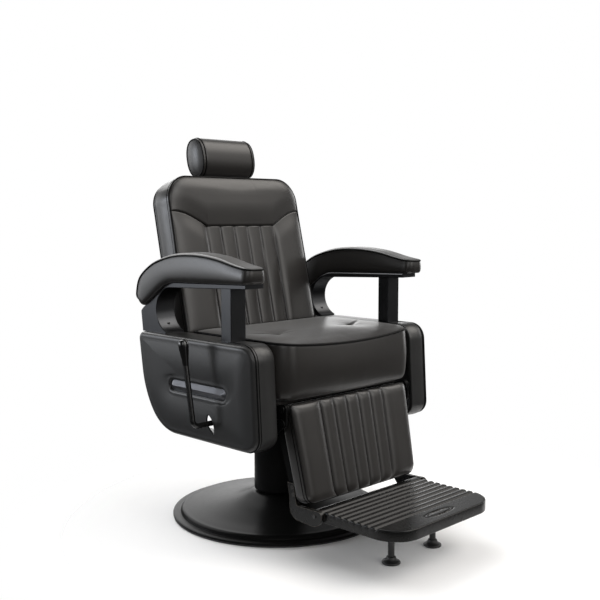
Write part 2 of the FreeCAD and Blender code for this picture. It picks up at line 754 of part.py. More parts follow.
def back_cover():
    """Rear upholstered shell, open towards the board and at its foot."""
    body = back_slab(250, -55, 366, 70, COVER_Y)
    rear = [e for e in body.Edges if all(abs(v.Y - COVER_Y[1]) < 1e-4 for v in e.Vertexes)]
    body = body.makeFillet(9, rear)
    hollow = back_slab(240, -60, 355, 60, (COVER_Y[0] - 1, COVER_Y[1] - COVER_SKIN))
    slot = box((-BAR_X - 2, BAR_X + 2), (BAR_Y[0] - 2, BAR_Y[1] + 2), (300, 380))
    return in_back(body.cut(hollow).cut(slot))


def headrest_guide():
    gap = 0.12
    body = box((-26, 26), (COVER_Y[0], COVER_Y[0] + 20), GUIDE_Z)
    return body.cut(box((-BAR_X - gap, BAR_X + gap), (BAR_Y[0] - gap, BAR_Y[1] + gap), (100, 400)))


def back_arm():
    """Side plate from the pivot tube up to the lower cross bar, with the link's pin below the pivot."""
    y, z = BACK_PIVOT
    top_y, top_z = to_back(y, z)
    foot = plate_x(ARM_PLATE_X, (top_y - 22, top_z), (top_y + 22, top_z), (COVER_Y[0] + 34, -62),
                   (COVER_Y[0], -62), (COVER_Y[0], -100))
    foot = fuse([in_back(foot), rod_x(y, z, 24, *ARM_PLATE_X)])
    tail = plate_x(ARM_PLATE_X, (y - 16, z), (y - 12, z - LINK_DROP), (y + 12, z - LINK_DROP), (y + 16, z))
    tip = rod_x(y, z - LINK_DROP, 12, *ARM_PLATE_X)
    stub = rod_x(y, z - LINK_DROP, LINK_PIN_R, ARM_PLATE_X[1], LINK_X[1] + 1)
    return fuse([foot, tail, tip, stub])


def strut_lever():
    y, z = BACK_PIVOT
    py, pz = strut_pin()
    n = V(0, -(pz - z), py - y)
    n = n * (12 / n.Length)
    x = (STRUT_X - 12, STRUT_X - 6)
    plate = plate_x(x, (y + n.y, z + n.z), (y - n.y, z - n.z), (py - n.y, pz - n.z), (py + n.y, pz + n.z))
    tip = rod_x(py, pz, 12, *x)
    pin = rod_x(py, pz, 5, x[1], STRUT_X + 7)
    return fuse([plate, tip, pin])


def back_frame():
    tube = rod_x(*BACK_PIVOT, BACK_TUBE_R, -ARM_PLATE_X[1], ARM_PLATE_X[1])
    flat = (COVER_Y[0], COVER_Y[0] + 8)
    bars = [box((-ARM_PLATE_X[1], ARM_PLATE_X[1]), flat, (-100, -62)),
            box((190, 228), flat, (-100, 318)), box((-228, -190), flat, (-100, 318)),
            box((-228, 228), flat, (150, 186))]
    return fuse([tube, strut_lever()] + [in_back(b) for b in bars] + both_sides(back_arm()))


def build_back():
    save("back_frame", back_frame())
    save("back_board", in_back(back_slab(250, -88, 366, 70, BOARD_Y)))
    save("back_cushion", back_cushion())
    save("back_cover", back_cover())
    save("headrest_guide", in_back(headrest_guide()))


# headrest

HEAD_C = (45.0, 441.5)
HEAD_DEEP = 41.0
HEAD_TALL = 60.0
HEAD_HALF = 106.0
HEAD_TIP_R = 33.0
HEAD_ROUND = 13.0
HEAD_PLATE = ((-64.0, 64.0), (BAR_Y[0] - 4, BAR_Y[0]), (424.0, 472.0))
BAR_Z = (225.0, 470.0)


def headrest_bar():
    return box((-BAR_X, BAR_X), BAR_Y, BAR_Z)


def headrest_oval(x, inset):
    """Section of the roll at x: two flat arcs and two tight ones, drawn in by the inset."""
    a, b, r = HEAD_DEEP - inset, HEAD_TALL - inset, HEAD_TIP_R - inset
    big = ((b - r) ** 2 + a * a - r * r) / (2 * (a - r))
    reach = big / (big - r)
    y, z = (big - a) * (reach - 1), (b - r) * reach
    at = lambda p: V(x, HEAD_C[0] + p[0], HEAD_C[1] + p[1])
    return wire(at, (y, z), ((0, b), (-y, z)), ((-a, 0), (-y, -z)), ((0, -b), (y, -z)), ((a, 0), (y, z)))


def headrest_pad():
    """Oval roll with rounded ends and a pocket for its plate and bar."""
    turn = [math.radians(30 * k) for k in range(4)]
    ends = [(HEAD_ROUND * (1 - math.sin(a)), HEAD_ROUND * (1 - math.cos(a))) for a in turn]
    sections = [headrest_oval(back - HEAD_HALF, inset) for back, inset in reversed(ends)]
    sections += [headrest_oval(HEAD_HALF - back, inset) for back, inset in ends]
    return soft(sections).cut(headrest_bar()).cut(box(*HEAD_PLATE))


def build_headrest():
    save("headrest_pad", in_back(headrest_pad()))
    save("headrest_plate", in_back(box(*HEAD_PLATE)))
    save("headrest_bar", in_back(headrest_bar()))


# links and strut

def push_link():
    ends = [(LEG_PIVOT[0], LEG_PIVOT[1] - LINK_DROP), (BACK_PIVOT[0], BACK_PIVOT[1] - LINK_DROP)]
    (y0, z0), (y1, z1) = ends
    bar = plate_x(LINK_X, (y0, z0 - 8), (y1, z1 - 8), (y1, z1 + 8), (y0, z0 + 8))
    bar = fuse([bar] + [rod_x(y, z, 11, *LINK_X) for y, z in ends])
    bar = bar.cut(rod_x(y0, z0, LINK_PIN_R + 0.4, 200, 300))
    return bar.cut(rod_x(y1, z1, LINK_PIN_R + RUN_GAP, 200, 300))


def strut_cylinder():
    y, z = strut_anchor()
    tube = rod_y(STRUT_X, z, 12, y + 38, 20).cut(rod_y(STRUT_X, z, 9, y + 42, 8))
    tab = box((STRUT_X - 7, STRUT_X + 7), (y - 10, y + 40), (z - 9, z + 9))
    return fuse([tube.cut(rod_y(STRUT_X, z, 5 + RUN_GAP, 0, 30)), tab]).cut(rod_x(y, z, 5, 100, 200))


def strut_rod():
    z = strut_axis_z()
    py, pz = strut_pin()
    rise = STRUT_ARM * (1 - math.cos(math.radians(RECLINE / 2)))
    eye = box((STRUT_X - 5, STRUT_X + 5), (py - 15, py + 13), (z - 18, z + 18))
    slot = box((STRUT_X - 6, STRUT_X + 6), (py - 6, py + 6), (pz - rise - 7, pz + 7))
    shaft = fuse([rod_y(STRUT_X, z, 5, -62, py - 14), rod_y(STRUT_X, z, 9 - 2 * RUN_GAP, -62, -50)])
    return fuse([shaft, eye.cut(slot)])


def build_linkage():
    link = push_link()
    save("push_link_left", link)
    save("push_link_right", mirror_x(link))
    save("strut_cylinder", strut_cylinder())
    save("strut_rod", strut_rod())


# leg rest

def calf_row(down):
    """One section of the calf pad at a distance down from its top edge."""
    crown = 0.15 + 0.85 * ease(down / 26) * ease((LEG_LEN - down) / 26)
    half = CALF_HALF_TOP + (CALF_HALF_LOW - CALF_HALF_TOP) * down / LEG_LEN
    half -= 5 * (1 - crown) + 14 * ease((down - LEG_LEN + 20) / 20)
    seams = seam_lines(128.0 * half / CALF_HALF_TOP)
    edge = 5.0
    mid_y = [edge - 17 * crown] + [edge - 13 * crown] * CHANNELS + [edge - 17 * crown]
    seam_y = [edge - 5 * crown] * (CHANNELS + 1)
    return channel_section(lambda p: V(p[0], p[1], -down), half, seams, edge, seam_y, mid_y, CALF_T)


def calf_pad():
    ends = (0, 5, 12, 19, 26)
    rows = [calf_row(down) for down in ends] + [calf_row(LEG_LEN - up) for up in reversed(ends)]
    return in_leg(soft(rows))


SIDE_PLATE_X = (200.0, 206.0)
EAR_X = (206.0, 217.0)
CROSS_TUBE = (-228.0, 318.0)


def leg_arm():
    y, z = LEG_PIVOT
    low = z - LINK_DROP
    ty, tz = CROSS_TUBE
    plate = plate_x(ARM_PLATE_X, (y - 12, z), (y - 12, low - 2), (ty - 10, tz - 14), (ty + 14, tz),
                    (y + 13, z + 1))
    boss = [rod_x(y, z, 13, *ARM_PLATE_X), rod_x(y, low, 12, *ARM_PLATE_X)]
    stub = rod_x(y, low, LINK_PIN_R, ARM_PLATE_X[1], LINK_X[1] + 1)
    return fuse([plate, stub] + boss).cut(rod_x(y, z, LEG_PIN_R + RUN_GAP, 200, 300))


def legrest_frame():
    tube = rod_x(*CROSS_TUBE, 12, -ARM_PLATE_X[1], ARM_PLATE_X[1])
    t0 = CALF_T + 1
    side = in_leg(plate_x(SIDE_PLATE_X, (t0, -24), (t0 + 44, -50), (t0 + 22, -243), (t0, -243)))
    rear = in_leg(box((-SIDE_PLATE_X[1], SIDE_PLATE_X[1]), (CALF_T + CALF_BOARD_T, CALF_T + CALF_BOARD_T + 5),
                      (-196, -160)))
    for y, z in ear_bolt_spots():
        side = side.cut(rod_x(y, z, 4, 190, 220))
    return fuse([tube, rear] + both_sides(side) + both_sides(leg_arm()))


def ear_bolt_spots():
    return [(-279.5, 157.0), (-276.0, 174.7)]


def hinge_ear():
    """Boot-shaped bracket that carries the foot plate's pin."""
    y, z = FOOT_PIVOT
    ear = plate_x(EAR_X, (-259, 186), (-267, 148), (-267, 124), ((-275, 104), (-293, 93)), (-345, 90),
                  ((-370, 98), (-381, 117)), ((-377, 128), (-366, 132)), (-330, 131), (-296, 131),
                  (-290.5, 136), (-280.5, 186))
    ear = ear.cut(rod_x(y, z, FOOT_PIN_R, 200, 230))
    for by, bz in ear_bolt_spots():
        ear = ear.cut(rod_x(by, bz, 4, 200, 230))
    return ear


def ear_bolts():
    bolts = []
    for y, z in ear_bolt_spots():
        bolts.append(fuse([rod_x(y, z, 4, SIDE_PLATE_X[0], EAR_X[1]), rod_x(y, z, 7, SIDE_PLATE_X[0] - 4,
                                                                         SIDE_PLATE_X[0])]))
    return group([s for b in bolts for s in both_sides(b)])


def build_legrest():
    save("legrest_frame", legrest_frame())
    board = box((-195, 195), (CALF_T, CALF_T + CALF_BOARD_T), (-248, -6))
    save("legrest_board", in_leg(board))
    save("calf_pad", calf_pad())
    save("hinge_ear_left", hinge_ear())
    save("hinge_ear_right", mirror_x(hinge_ear()))
    save("ear_bolts", ear_bolts())
    y, z = FOOT_PIVOT
    save("foot_pins", group(both_sides(rod_x(y, z, FOOT_PIN_R, 180, EAR_X[1] + 2))))


# foot plate

def rib_profile():
    """Top line of the foot plate in (y, z): a smooth front, then ribs parted by round grooves."""
    y0, y1 = PLATE_Y
    z0, z1 = PLATE_Z
    half = 4.2
    depth = 5.0
    steps = []
    for i in reversed(range(RIB_COUNT)):
        y = RIB_FIRST_Y - i * RIB_PITCH
        steps.append((y - half, z1))
        steps.append(((y, z1 - depth), (y + half, z1)))
    return wire(lambda p: V(-PLATE_X, p[0], p[1]), (y0, z0 + 6), ((y0 + 3, z1 - 5), (y0 + 13, z1)), *steps,
                (y1 - 8, z1), ((y1 - 2, z1 - 4), (y1, z1 - 13)), ((y1 - 4, z0 + 4), (y1 - 13, z0)),
                (y0 + 6, z0), ((y0 + 2, z0 + 2), (y0, z0 + 6)))


def oval_plate(z, grow, height):
    """Flat oval on the smooth front of the foot plate."""
    y = -581.0
    a, b = 56.0 + grow, 11.0 + grow
    at = lambda p: V(p[0], y + p[1], z)
    outline = wire(at, (-a, 0), ((-a * 0.55, b * 0.86), (0, b)), ((a * 0.55, b * 0.86), (a, 0)),
                   ((a * 0.55, -b * 0.86), (0, -b)), ((-a * 0.55, -b * 0.86), (-a, 0)))
    return Part.Face(outline).extrude(V(0, 0, height))


def foot_plate():
    """Cast plate, hollow underneath, with cross ribs and a bare oval in front."""
    body = Part.Face(rib_profile()).extrude(V(2 * PLATE_X, 0, 0))
    plan = rounded_plan((-PLATE_X, PLATE_X), (PLATE_Y[0] - 0.001, PLATE_Y[1] + PLATE_CORNER), (0, 300),
                        PLATE_CORNER)
    body = body.common(plan)
    z0, z1 = PLATE_Z
    hollow = rounded_plan((-PLATE_X + 10, PLATE_X - 10), (PLATE_Y[0] + 12, PLATE_Y[1] - 34),
                          (z0 - 1, z1 - 12), PLATE_CORNER - 10)
    x, y = FOOT_AT
    for side in (-1, 1):
        hollow = hollow.cut(rod_z(side * x, y, 18, z0 - 1, z1))
    body = body.cut(hollow)
    body = body.cut(oval_plate(z1 - 2, 3, 5).cut(oval_plate(z1 - 2, 0, 5)))
    for side in (-1, 1):
        body = body.cut(rod_z(side * x, y, 8.5, z0 - 1, z0 + 12))
    py, pz = FOOT_PIVOT
    return body.cut(rod_x(py, pz, FOOT_PIN_R + RUN_GAP, 179, 230)).cut(
        rod_x(py, pz, FOOT_PIN_R + RUN_GAP, -230, -179))


def foot_stem():
    x, y = FOOT_AT
    return rod_z(x, y, 8.5, 8, PLATE_Z[0] + 12)


def rubber_foot():
    x, y = FOOT_AT
    cup = turned((0, 0), (22.5, 0), (24, 1.5), (24, 4), (16.8, 11.5), (12, 18), (8.5, 18), (8.5, 8), (0, 8))
    cup.translate(V(x, y, 0))
    return cup


def build_footplate():
    save("foot_plate", foot_plate())
    save("foot_stems", group(both_sides(foot_stem())))
    save("rubber_feet", group(both_sides(rubber_foot())))


os.makedirs("parts", exist_ok=True)
build_base()
build_column()
build_seat()
build_sides()
build_lever()
build_back()
build_headrest()
build_linkage()
build_legrest()
build_footplate()
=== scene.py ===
"""Looks of a barber chair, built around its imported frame.

Lengths are written in millimetres in the frame's axes: +Z up, the sitter faces -Y, and the sitter's right
hand, with the recline lever, is at -X. Meshes are put down in metres.
"""

import logging
import math
from dataclasses import dataclass, field
from enum import Enum
from typing import Any, Callable, Dict, List, Optional, Sequence, Tuple

import bmesh
import bpy
import numpy as np
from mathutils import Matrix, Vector


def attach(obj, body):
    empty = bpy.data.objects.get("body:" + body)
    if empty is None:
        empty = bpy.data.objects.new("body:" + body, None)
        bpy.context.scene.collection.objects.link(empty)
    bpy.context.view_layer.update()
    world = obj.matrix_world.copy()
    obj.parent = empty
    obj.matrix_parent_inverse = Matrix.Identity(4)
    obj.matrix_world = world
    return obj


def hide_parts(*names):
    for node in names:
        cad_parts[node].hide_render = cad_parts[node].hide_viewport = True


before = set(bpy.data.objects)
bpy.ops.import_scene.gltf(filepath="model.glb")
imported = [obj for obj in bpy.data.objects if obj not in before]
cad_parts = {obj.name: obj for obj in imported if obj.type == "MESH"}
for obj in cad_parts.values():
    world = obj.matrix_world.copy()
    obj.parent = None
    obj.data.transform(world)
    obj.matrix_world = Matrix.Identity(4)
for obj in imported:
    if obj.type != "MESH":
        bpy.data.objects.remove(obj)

Array = np.ndarray
Pair = Tuple[float, float]
Triple = Tuple[float, float, float]
Four = Tuple[float, float, float, float]
Line = Sequence[Pair]
Place = Callable[[Array, Array, Array], Array]
Piece = bpy.types.Object
Tree = bpy.types.NodeTree
Node = bpy.types.Node
Socket = bpy.types.NodeSocket
Patterns = Tuple[Socket, Socket, Socket]

MM = 0.001
QUARTER = np.pi / 2
CIRCLE = 2 * np.pi
UP = (0.0, 0.0, 1.0)
# two places nearer than this are one
SAME = 1e-6
# keeps a length that divides from being 0
TINY = 1e-9
# points on the arc of a rounded corner, and for each point of a smooth line
ARC_POINTS = 24
# the lever's pivot in (y, z), and the left foot's place in (x, y)
PIVOT = (-110.0, 337.0)
FOOT = (86.0, -498.0)
log = logging.getLogger("barber_chair")


class Side(Enum):
    """The two hands of the chair, with the sign of their X."""

    RIGHT = -1
    LEFT = 1

    @property
    def tag(self) -> str:
        """Ending of the names of pieces on this side."""
        return self.name.lower()


# Numbers and curves


def ease(t: Array) -> Array:
    """Smooth step: 3t2 - 2t3 between 0 and 1, level outside."""
    t = np.clip(t, 0.0, 1.0)
    return t * t * (3 - 2 * t)


def slope(t: Array, span: Pair) -> Array:
    """Smooth step along a span, which is (start of a slope, its length)."""
    return ease((t - span[0]) / span[1])


def lip(t: Array) -> Array:
    """Quarter round: rises from 0 steeply and is level from 1 on, as cloth leaves a seam."""
    t = np.clip(t, 0.0, 1.0)
    return np.sqrt(1 - (1 - t) ** 2)


def bell(t: Array) -> Array:
    """Bell curve exp(-t2), 1 at 0."""
    return np.exp(-np.square(t))


def cosine_steps(low: float, high: float, count: int) -> Array:
    """Count + 1 values from low to high that crowd towards both ends, as half a turn of a cosine does."""
    return low + (high - low) * (0.5 - 0.5 * np.cos(np.linspace(0, np.pi, count + 1)))


def rounded(half: Array, radius: float, past: Array) -> Array:
    """Half width less radius - sqrt(radius2 - past2), at places that far past the start of a round corner."""
    past = np.maximum(0.0, past)
    return half - radius + np.sqrt(np.maximum(0.0, radius ** 2 - past ** 2))


def smooth_line(points: Line, count: int) -> Array:
    """Curve through points: each span is a cubic whose end slopes are those of its neighbours' chords.

    Args:
        points: Corner points of the line in order.
        count: Number of values along it.

    Returns:
        Points of the curve, evenly spaced by length.
    """
    p = np.array(points, float)
    slope = np.gradient(p, axis=0)
    t = np.linspace(0, len(p) - 1, ARC_POINTS * len(p))
    i = np.minimum(t.astype(int), len(p) - 2)
    f = (t - i)[:, None]
    curve = ((1 + 2 * f) * (1 - f) ** 2 * p[i] + f * (1 - f) ** 2 * slope[i]
             + f * f * (3 - 2 * f) * p[i + 1] + f * f * (f - 1) * slope[i + 1])
    return resample(curve, count)


def resample(line: Array, count: int, closed: bool = False) -> Array:
    """Evenly spaced points along a polyline.

    Args:
        line: Points of the polyline.
        count: Number of points wanted.
        closed: True where the last point joins the first.

    Returns:
        An array of count points.
    """
    p = np.vstack([line, line[:1]]) if closed else line
    run = np.concatenate([[0], np.cumsum(np.linalg.norm(np.diff(p, axis=0), axis=1))])
    want = np.linspace(0, run[-1], count, endpoint=not closed)
    return np.stack([np.interp(want, run, p[:, k]) for k in range(p.shape[1])], axis=-1)


def rounded_outline(corners: Sequence[Triple], count: int) -> Array:
    """Closed outline whose (a, b, radius) corners are rounded by tangent arcs.

    Args:
        corners: Corner points with the radius at each.
        count: Number of points on the whole outline.

    Returns:
        Evenly spaced points, starting in the middle of the arc at the first corner.
    """
    arcs = []
    for i, (a, b, r) in enumerate(corners):
        here = np.array((a, b))
        back = np.array(corners[i - 1][:2]) - here
        on = np.array(corners[(i + 1) % len(corners)][:2]) - here
        back, on = back / np.linalg.norm(back), on / np.linalg.norm(on)
        half = math.acos(float(np.clip(back @ on, -1, 1))) / 2
        middle = (back + on) / np.linalg.norm(back + on)
        centre = here + middle * r / math.sin(half)
        side = back * r / math.tan(half) + here - centre
        turn = np.linspace(0, np.pi - 2 * half, ARC_POINTS)[:, None]
        other = on * r / math.tan(half) + here - centre
        square = other - side * math.cos(np.pi - 2 * half)
        square = square / np.linalg.norm(square) * r
        arcs.append(centre + side * np.cos(turn) + square * np.sin(turn))
    outline = np.vstack(arcs)
    return resample(np.roll(outline, -(ARC_POINTS // 2), axis=0), count, closed=True)


def outward(loop: Array) -> Array:
    """Normals that point out of a closed plane loop: its run turned by a quarter, signed by its area.

    Args:
        loop: Points of the loop, whichever way it runs.

    Returns:
        A unit normal at each point.
    """
    run = np.roll(loop, -1, axis=0) - np.roll(loop, 1, axis=0)
    run = run / np.maximum(np.linalg.norm(run, axis=1, keepdims=True), TINY)
    x, y = loop[:, 0], loop[:, 1]
    area = np.sum(x * np.roll(y, -1) - np.roll(x, -1) * y)
    return np.stack([run[:, 1], -run[:, 0]], axis=-1) * np.sign(area)


def leaned(tilt: float, at: Pair, across: Array, along: Array, level: Array) -> Array:
    """Places on a plane that leans back, to space: up its rise by along, forwards along its normal by level.

    Args:
        tilt: Degrees by which the plane leans towards +Y.
        at: The plane's origin in (y, z).
        across: Places in X.
        along: Places up the plane.
        level: Heights in front of the plane.

    Returns:
        Points in space.
    """
    c, s = math.cos(math.radians(tilt)), math.sin(math.radians(tilt))
    y = at[0] - level * c + along * s
    z = at[1] + level * s + along * c
    return np.stack(np.broadcast_arrays(across, y, z), axis=-1)


def facing(tilt: float) -> Triple:
    """Normal of a plane that leans back by tilt degrees, pointing forwards."""
    return (0.0, -math.cos(math.radians(tilt)), math.sin(math.radians(tilt)))


def channel_columns(edge: float, channels: int, outer: int, inner: int) -> Tuple[Array, Array]:
    """Columns across a channelled cushion, from -1 to 1, that crowd at its seams.

    Args:
        edge: Place of the outermost seams as a share of the half width.
        channels: Number of channels between them.
        outer: Steps across a side panel.
        inner: Steps across a channel.

    Returns:
        The columns, and which of them lie on a seam.
    """
    seams = np.linspace(-edge, edge, channels + 1)
    cells = [cosine_steps(-1, seams[0], outer)]
    cells += [cosine_steps(a, b, inner)[1:] for a, b in zip(seams, seams[1:])]
    cells.append(cosine_steps(seams[-1], 1, outer)[1:])
    columns = np.concatenate(cells)
    return columns, np.min(np.abs(columns[:, None] - seams[None, :]), axis=1) < SAME


def cell_share(place: Array, edge: float, half: Array, channels: int) -> Tuple[Array, Array]:
    """How far along its channel or side panel each place lies, from 0 to 1.

    Args:
        place: Places across the cushion.
        edge: Place of the outermost seams.
        half: Half width of the cushion.
        channels: Number of channels between the outermost seams.

    Returns:
        The share along the cell, and where that is a side panel.
    """
    wide = 2 * edge / channels
    inner = ((place + edge) / wide) % 1.0
    outer = (np.abs(place) - edge) / np.maximum(half - edge, SAME)
    side = np.abs(place) > edge + SAME
    return np.where(side, np.clip(outer, 0, 1), inner), side


# Meshes


def grid_quads(rows: int, cols: int, ring_rows: bool = False, ring_cols: bool = False) -> Array:
    """Quads between neighbouring points of a grid of rows x cols.

    Args:
        rows: Number of rows.
        cols: Number of columns.
        ring_rows: True where the last row joins the first.
        ring_cols: True where the last column joins the first.

    Returns:
        Indices of the quads' corners.
    """
    i = np.arange(rows if ring_rows else rows - 1)[:, None]
    j = np.arange(cols if ring_cols else cols - 1)[None, :]
    down, across = (i + 1) % rows, (j + 1) % cols
    quads = np.stack([i * cols + j, i * cols + across, down * cols + across, down * cols + j], axis=-1)
    return quads.reshape(-1, 4)


def wall_quads(rings: Array) -> Array:
    """Quads between closed rings of indices, each ring a row."""
    after = np.roll(rings, -1, axis=1)
    return np.stack([rings[:-1], after[:-1], after[1:], rings[1:]], axis=-1).reshape(-1, 4)


def fan(loop: Array, middle: int) -> Array:
    """Triangles from each side of a closed loop of indices to one middle index."""
    return np.stack([loop, np.roll(loop, -1), np.full(len(loop), middle)], axis=-1)


def edge_loop(rows: int, cols: int) -> Array:
    """Indices round the border of a grid, once, in order."""
    index = np.arange(rows * cols).reshape(rows, cols)
    return np.concatenate([index[0, :-1], index[:-1, -1], index[-1, :0:-1], index[:0:-1, 0]])


def put_down(name: str, points: Array, faces: Sequence[Array], crease: float = 40.0) -> Piece:
    """Mesh object from points in millimetres, faces turned outwards and shaded smooth.

    Args:
        name: Name of the piece.
        points: Vertices in millimetres.
        faces: Arrays of quads and triangles.
        crease: Angle in degrees above which an edge stays sharp.

    Returns:
        The new object, at the origin.
    """
    mesh = bpy.data.meshes.new(name)
    polygons = [face for block in faces for face in block.tolist()]
    mesh.from_pydata((points.reshape(-1, 3) * MM).tolist(), [], polygons)
    shaped = bmesh.new()
    shaped.from_mesh(mesh)
    bmesh.ops.recalc_face_normals(shaped, faces=shaped.faces)
    shaped.to_mesh(mesh)
    shaped.free()
    mesh.shade_smooth()
    mesh.set_sharp_from_angle(angle=math.radians(crease))
    piece = bpy.data.objects.new(name, mesh)
    bpy.context.scene.collection.objects.link(piece)
    return piece


def turned(profile: Array, count: int) -> Tuple[Array, Array]:
    """A closed (radius, height) profile turned about the Z axis.

    Args:
        profile: Points of the profile.
        count: Number of copies round the axis.

    Returns:
        Points and quads.
    """
    angle = np.linspace(0, CIRCLE, count, endpoint=False)[:, None]
    r, z = profile[None, :, 0], profile[None, :, 1]
    points = np.stack(np.broadcast_arrays(r * np.cos(angle), r * np.sin(angle), z), axis=-1)
    return points.reshape(-1, 3), grid_quads(count, len(profile), True, True)


def capped(rings: Array) -> Tuple[Array, List[Array]]:
    """A row of closed rings joined to a skin and shut by a fan to the middle of each end.

    Args:
        rings: Points by ring and place on the ring.

    Returns:
        Points, and the blocks of faces.
    """
    rows, cols = rings.shape[:2]
    ends = [rings[k].mean(axis=0, keepdims=True) for k in (0, -1)]
    points = np.vstack([rings.reshape(-1, 3), *ends])
    first, last = np.arange(cols), (rows - 1) * cols + np.arange(cols)
    return points, [grid_quads(rows, cols, False, True), fan(first, rows * cols), fan(last, rows * cols + 1)]


def tube(path: Array, radius: float, up: Sequence[float], closed: bool,
         sides: int = 10) -> Tuple[Array, List[Array]]:
    """Round cord carried along a path: each ring stands square to the path's run.

    Args:
        path: Points of the centre line.
        radius: Radius of the cord.
        up: A direction that the path never runs along, from which the rings are turned.
        closed: True for a loop.
        sides: Points on a ring.

    Returns:
        Points, and the blocks of faces.
    """
    run = np.roll(path, -1, axis=0) - np.roll(path, 1, axis=0) if closed else np.gradient(path, axis=0)
    run = run / np.linalg.norm(run, axis=1, keepdims=True)
    one = np.cross(run, np.array(up, float))
    one = one / np.maximum(np.linalg.norm(one, axis=1, keepdims=True), TINY)
    two = np.cross(run, one)
    turn = np.linspace(0, CIRCLE, sides, endpoint=False)
    ring = np.cos(turn)[None, :, None] * one[:, None, :] + np.sin(turn)[None, :, None] * two[:, None, :]
    points = (path[:, None, :] + radius * ring).reshape(-1, 3)
    faces = [grid_quads(len(path), sides, closed, True)]
    if not closed:
        first, last = np.arange(sides), len(points) - sides + np.arange(sides)
        points = np.vstack([points, path[:1], path[-1:]])
        faces += [fan(first, len(points) - 2), fan(last, len(points) - 1)]
    return points, faces


def piping(name: str, path: Array, radius: float, up: Sequence[float], closed: bool = True) -> Piece:
    """A corded seam as its own piece along a path."""
    points, faces = tube(path, radius, up, closed)
    return put_down(name, points, faces, crease=80.0)


@dataclass
class Pad:
    """A boxed cushion: a sewn face on a grid, a bulging wall round it and a flat back.

    The face lies at (across, along) in the cushion's plan and stands at a level above it. The wall goes from
    the face's border to the back level. It stands out by bulge x sin(pi t) on the way, and turns in by the
    tuck along a quarter round over its last part. The back is the face's plan, drawn in to its middle. Held
    is the share (0 to 1) by which the face's points stay where they are while the cover is filled.
    """

    name: str
    across: Array
    along: Array
    level: Array
    back: float
    bulge: float
    place: Place
    steps: int = 12
    held: Optional[Array] = None
    tuck: float = 5.0
    last_part: float = 0.2
    draw_in: float = 0.15
    loop: Array = field(init=False)
    normal: Array = field(init=False)
    fixed: Array = field(init=False)

    def __post_init__(self) -> None:
        """Find the border and the way out of it."""
        self.loop = edge_loop(*self.across.shape)
        self.normal = outward(self.border(0.0))

    def border(self, grow: float) -> Array:
        """The face's border in plan, moved out by grow."""
        flat = np.stack([self.across.ravel()[self.loop], self.along.ravel()[self.loop]], axis=-1)
        return flat + grow * self.normal if grow else flat

    def rim(self, grow: float, lift: float) -> Array:
        """The border in space, moved out by grow and lifted."""
        plan = self.border(grow)
        return self.place(plan[:, 0], plan[:, 1], self.level.ravel()[self.loop] + lift)

    def wall(self) -> Array:
        """Rings of the wall below the border.

        Returns:
            Points by ring and place on the border.
        """
        t = np.sin(np.linspace(0, QUARTER, self.steps + 1))[1:, None]
        turn = np.clip((t - (1 - self.last_part)) / self.last_part, 0, 1)
        out = self.bulge * np.sin(np.pi * t) - self.tuck * (1 - np.sqrt(1 - turn ** 2))
        plan = self.border(0.0)[None] + out[..., None] * self.normal[None]
        edge = self.level.ravel()[self.loop][None]
        return self.place(plan[..., 0], plan[..., 1], edge + (self.back - edge) * t)

    def build(self) -> Piece:
        """Make the face, wall and back one closed mesh, and note which points are held.

        Returns:
            The cover.
        """
        quads = grid_quads(*self.across.shape)
        face = self.place(self.across, self.along, self.level).reshape(-1, 3)
        wall = self.wall()
        inside = np.ones(len(face), bool)
        inside[self.loop] = False
        x, y = [(1 - self.draw_in) * v + self.draw_in * v.mean() for v in (self.across, self.along)]
        under = self.place(x.ravel()[inside], y.ravel()[inside], np.full(inside.sum(), float(self.back)))
        points = np.vstack([face, wall.reshape(-1, 3), under])
        below = len(face) + np.arange(wall.size // 3).reshape(self.steps, -1)
        rings = np.vstack([self.loop[None], below])
        index = np.empty(len(face), int)
        index[self.loop] = rings[-1]
        index[inside] = len(points) - len(under) + np.arange(len(under))
        piece = put_down(self.name, points, [quads, wall_quads(rings), index[quads]], crease=75.0)
        self.fixed = np.zeros(len(points))
        self.fixed[self.loop] = 1.0
        self.fixed[rings[-2:].ravel()] = 1.0
        self.fixed[len(points) - len(under):] = 1.0
        if self.held is not None:
            self.fixed[:len(face)] = np.maximum(self.fixed[:len(face)], self.held.ravel())
        return piece


# Filling

# stiff coated cloth, which swells with little creasing
CLOTH: Dict[str, Any] = {
    "quality": 4, "mass": 0.3, "tension_stiffness": 20, "compression_stiffness": 20, "shear_stiffness": 10,
    "bending_stiffness": 8.0, "use_pressure": True}


@dataclass(frozen=True)
class Filling:
    """How a cover is filled: share of it, pressure from inside, spare cloth, and how far a point may move.

    Calm is how often the movement is evened over the mesh, crumple the share of raw wrinkles that is kept.
    """

    share: float
    pressure: float
    spare: float
    reach: float
    frames: int = 20
    calm: int = 90
    crumple: float = 0.12


Cover = Tuple[Piece, Array, Filling]


def calmed(piece: Piece, move: Array, free: Array, rounds: int) -> Array:
    """Even out a movement over a mesh, as taut foam does under a cover.

    Args:
        piece: Object whose edges say which points are neighbours.
        move: Movement of each point.
        free: Share (0 to 1) by which each point may move.
        rounds: How many times each point is averaged with its neighbours.

    Returns:
        The evened movement.
    """
    ends = np.zeros(len(piece.data.edges) * 2, np.int32)
    piece.data.edges.foreach_get("vertices", ends)
    one, two = np.concatenate([ends.reshape(-1, 2), ends.reshape(-1, 2)[:, ::-1]]).T
    near = np.maximum(np.bincount(one, minlength=len(move)), 1)[:, None]
    for _ in range(rounds):
        total = np.stack([np.bincount(one, move[two, k], len(move)) for k in range(3)], axis=1)
        move = free[:, None] * (0.5 * move + 0.5 * total / near)
    return move


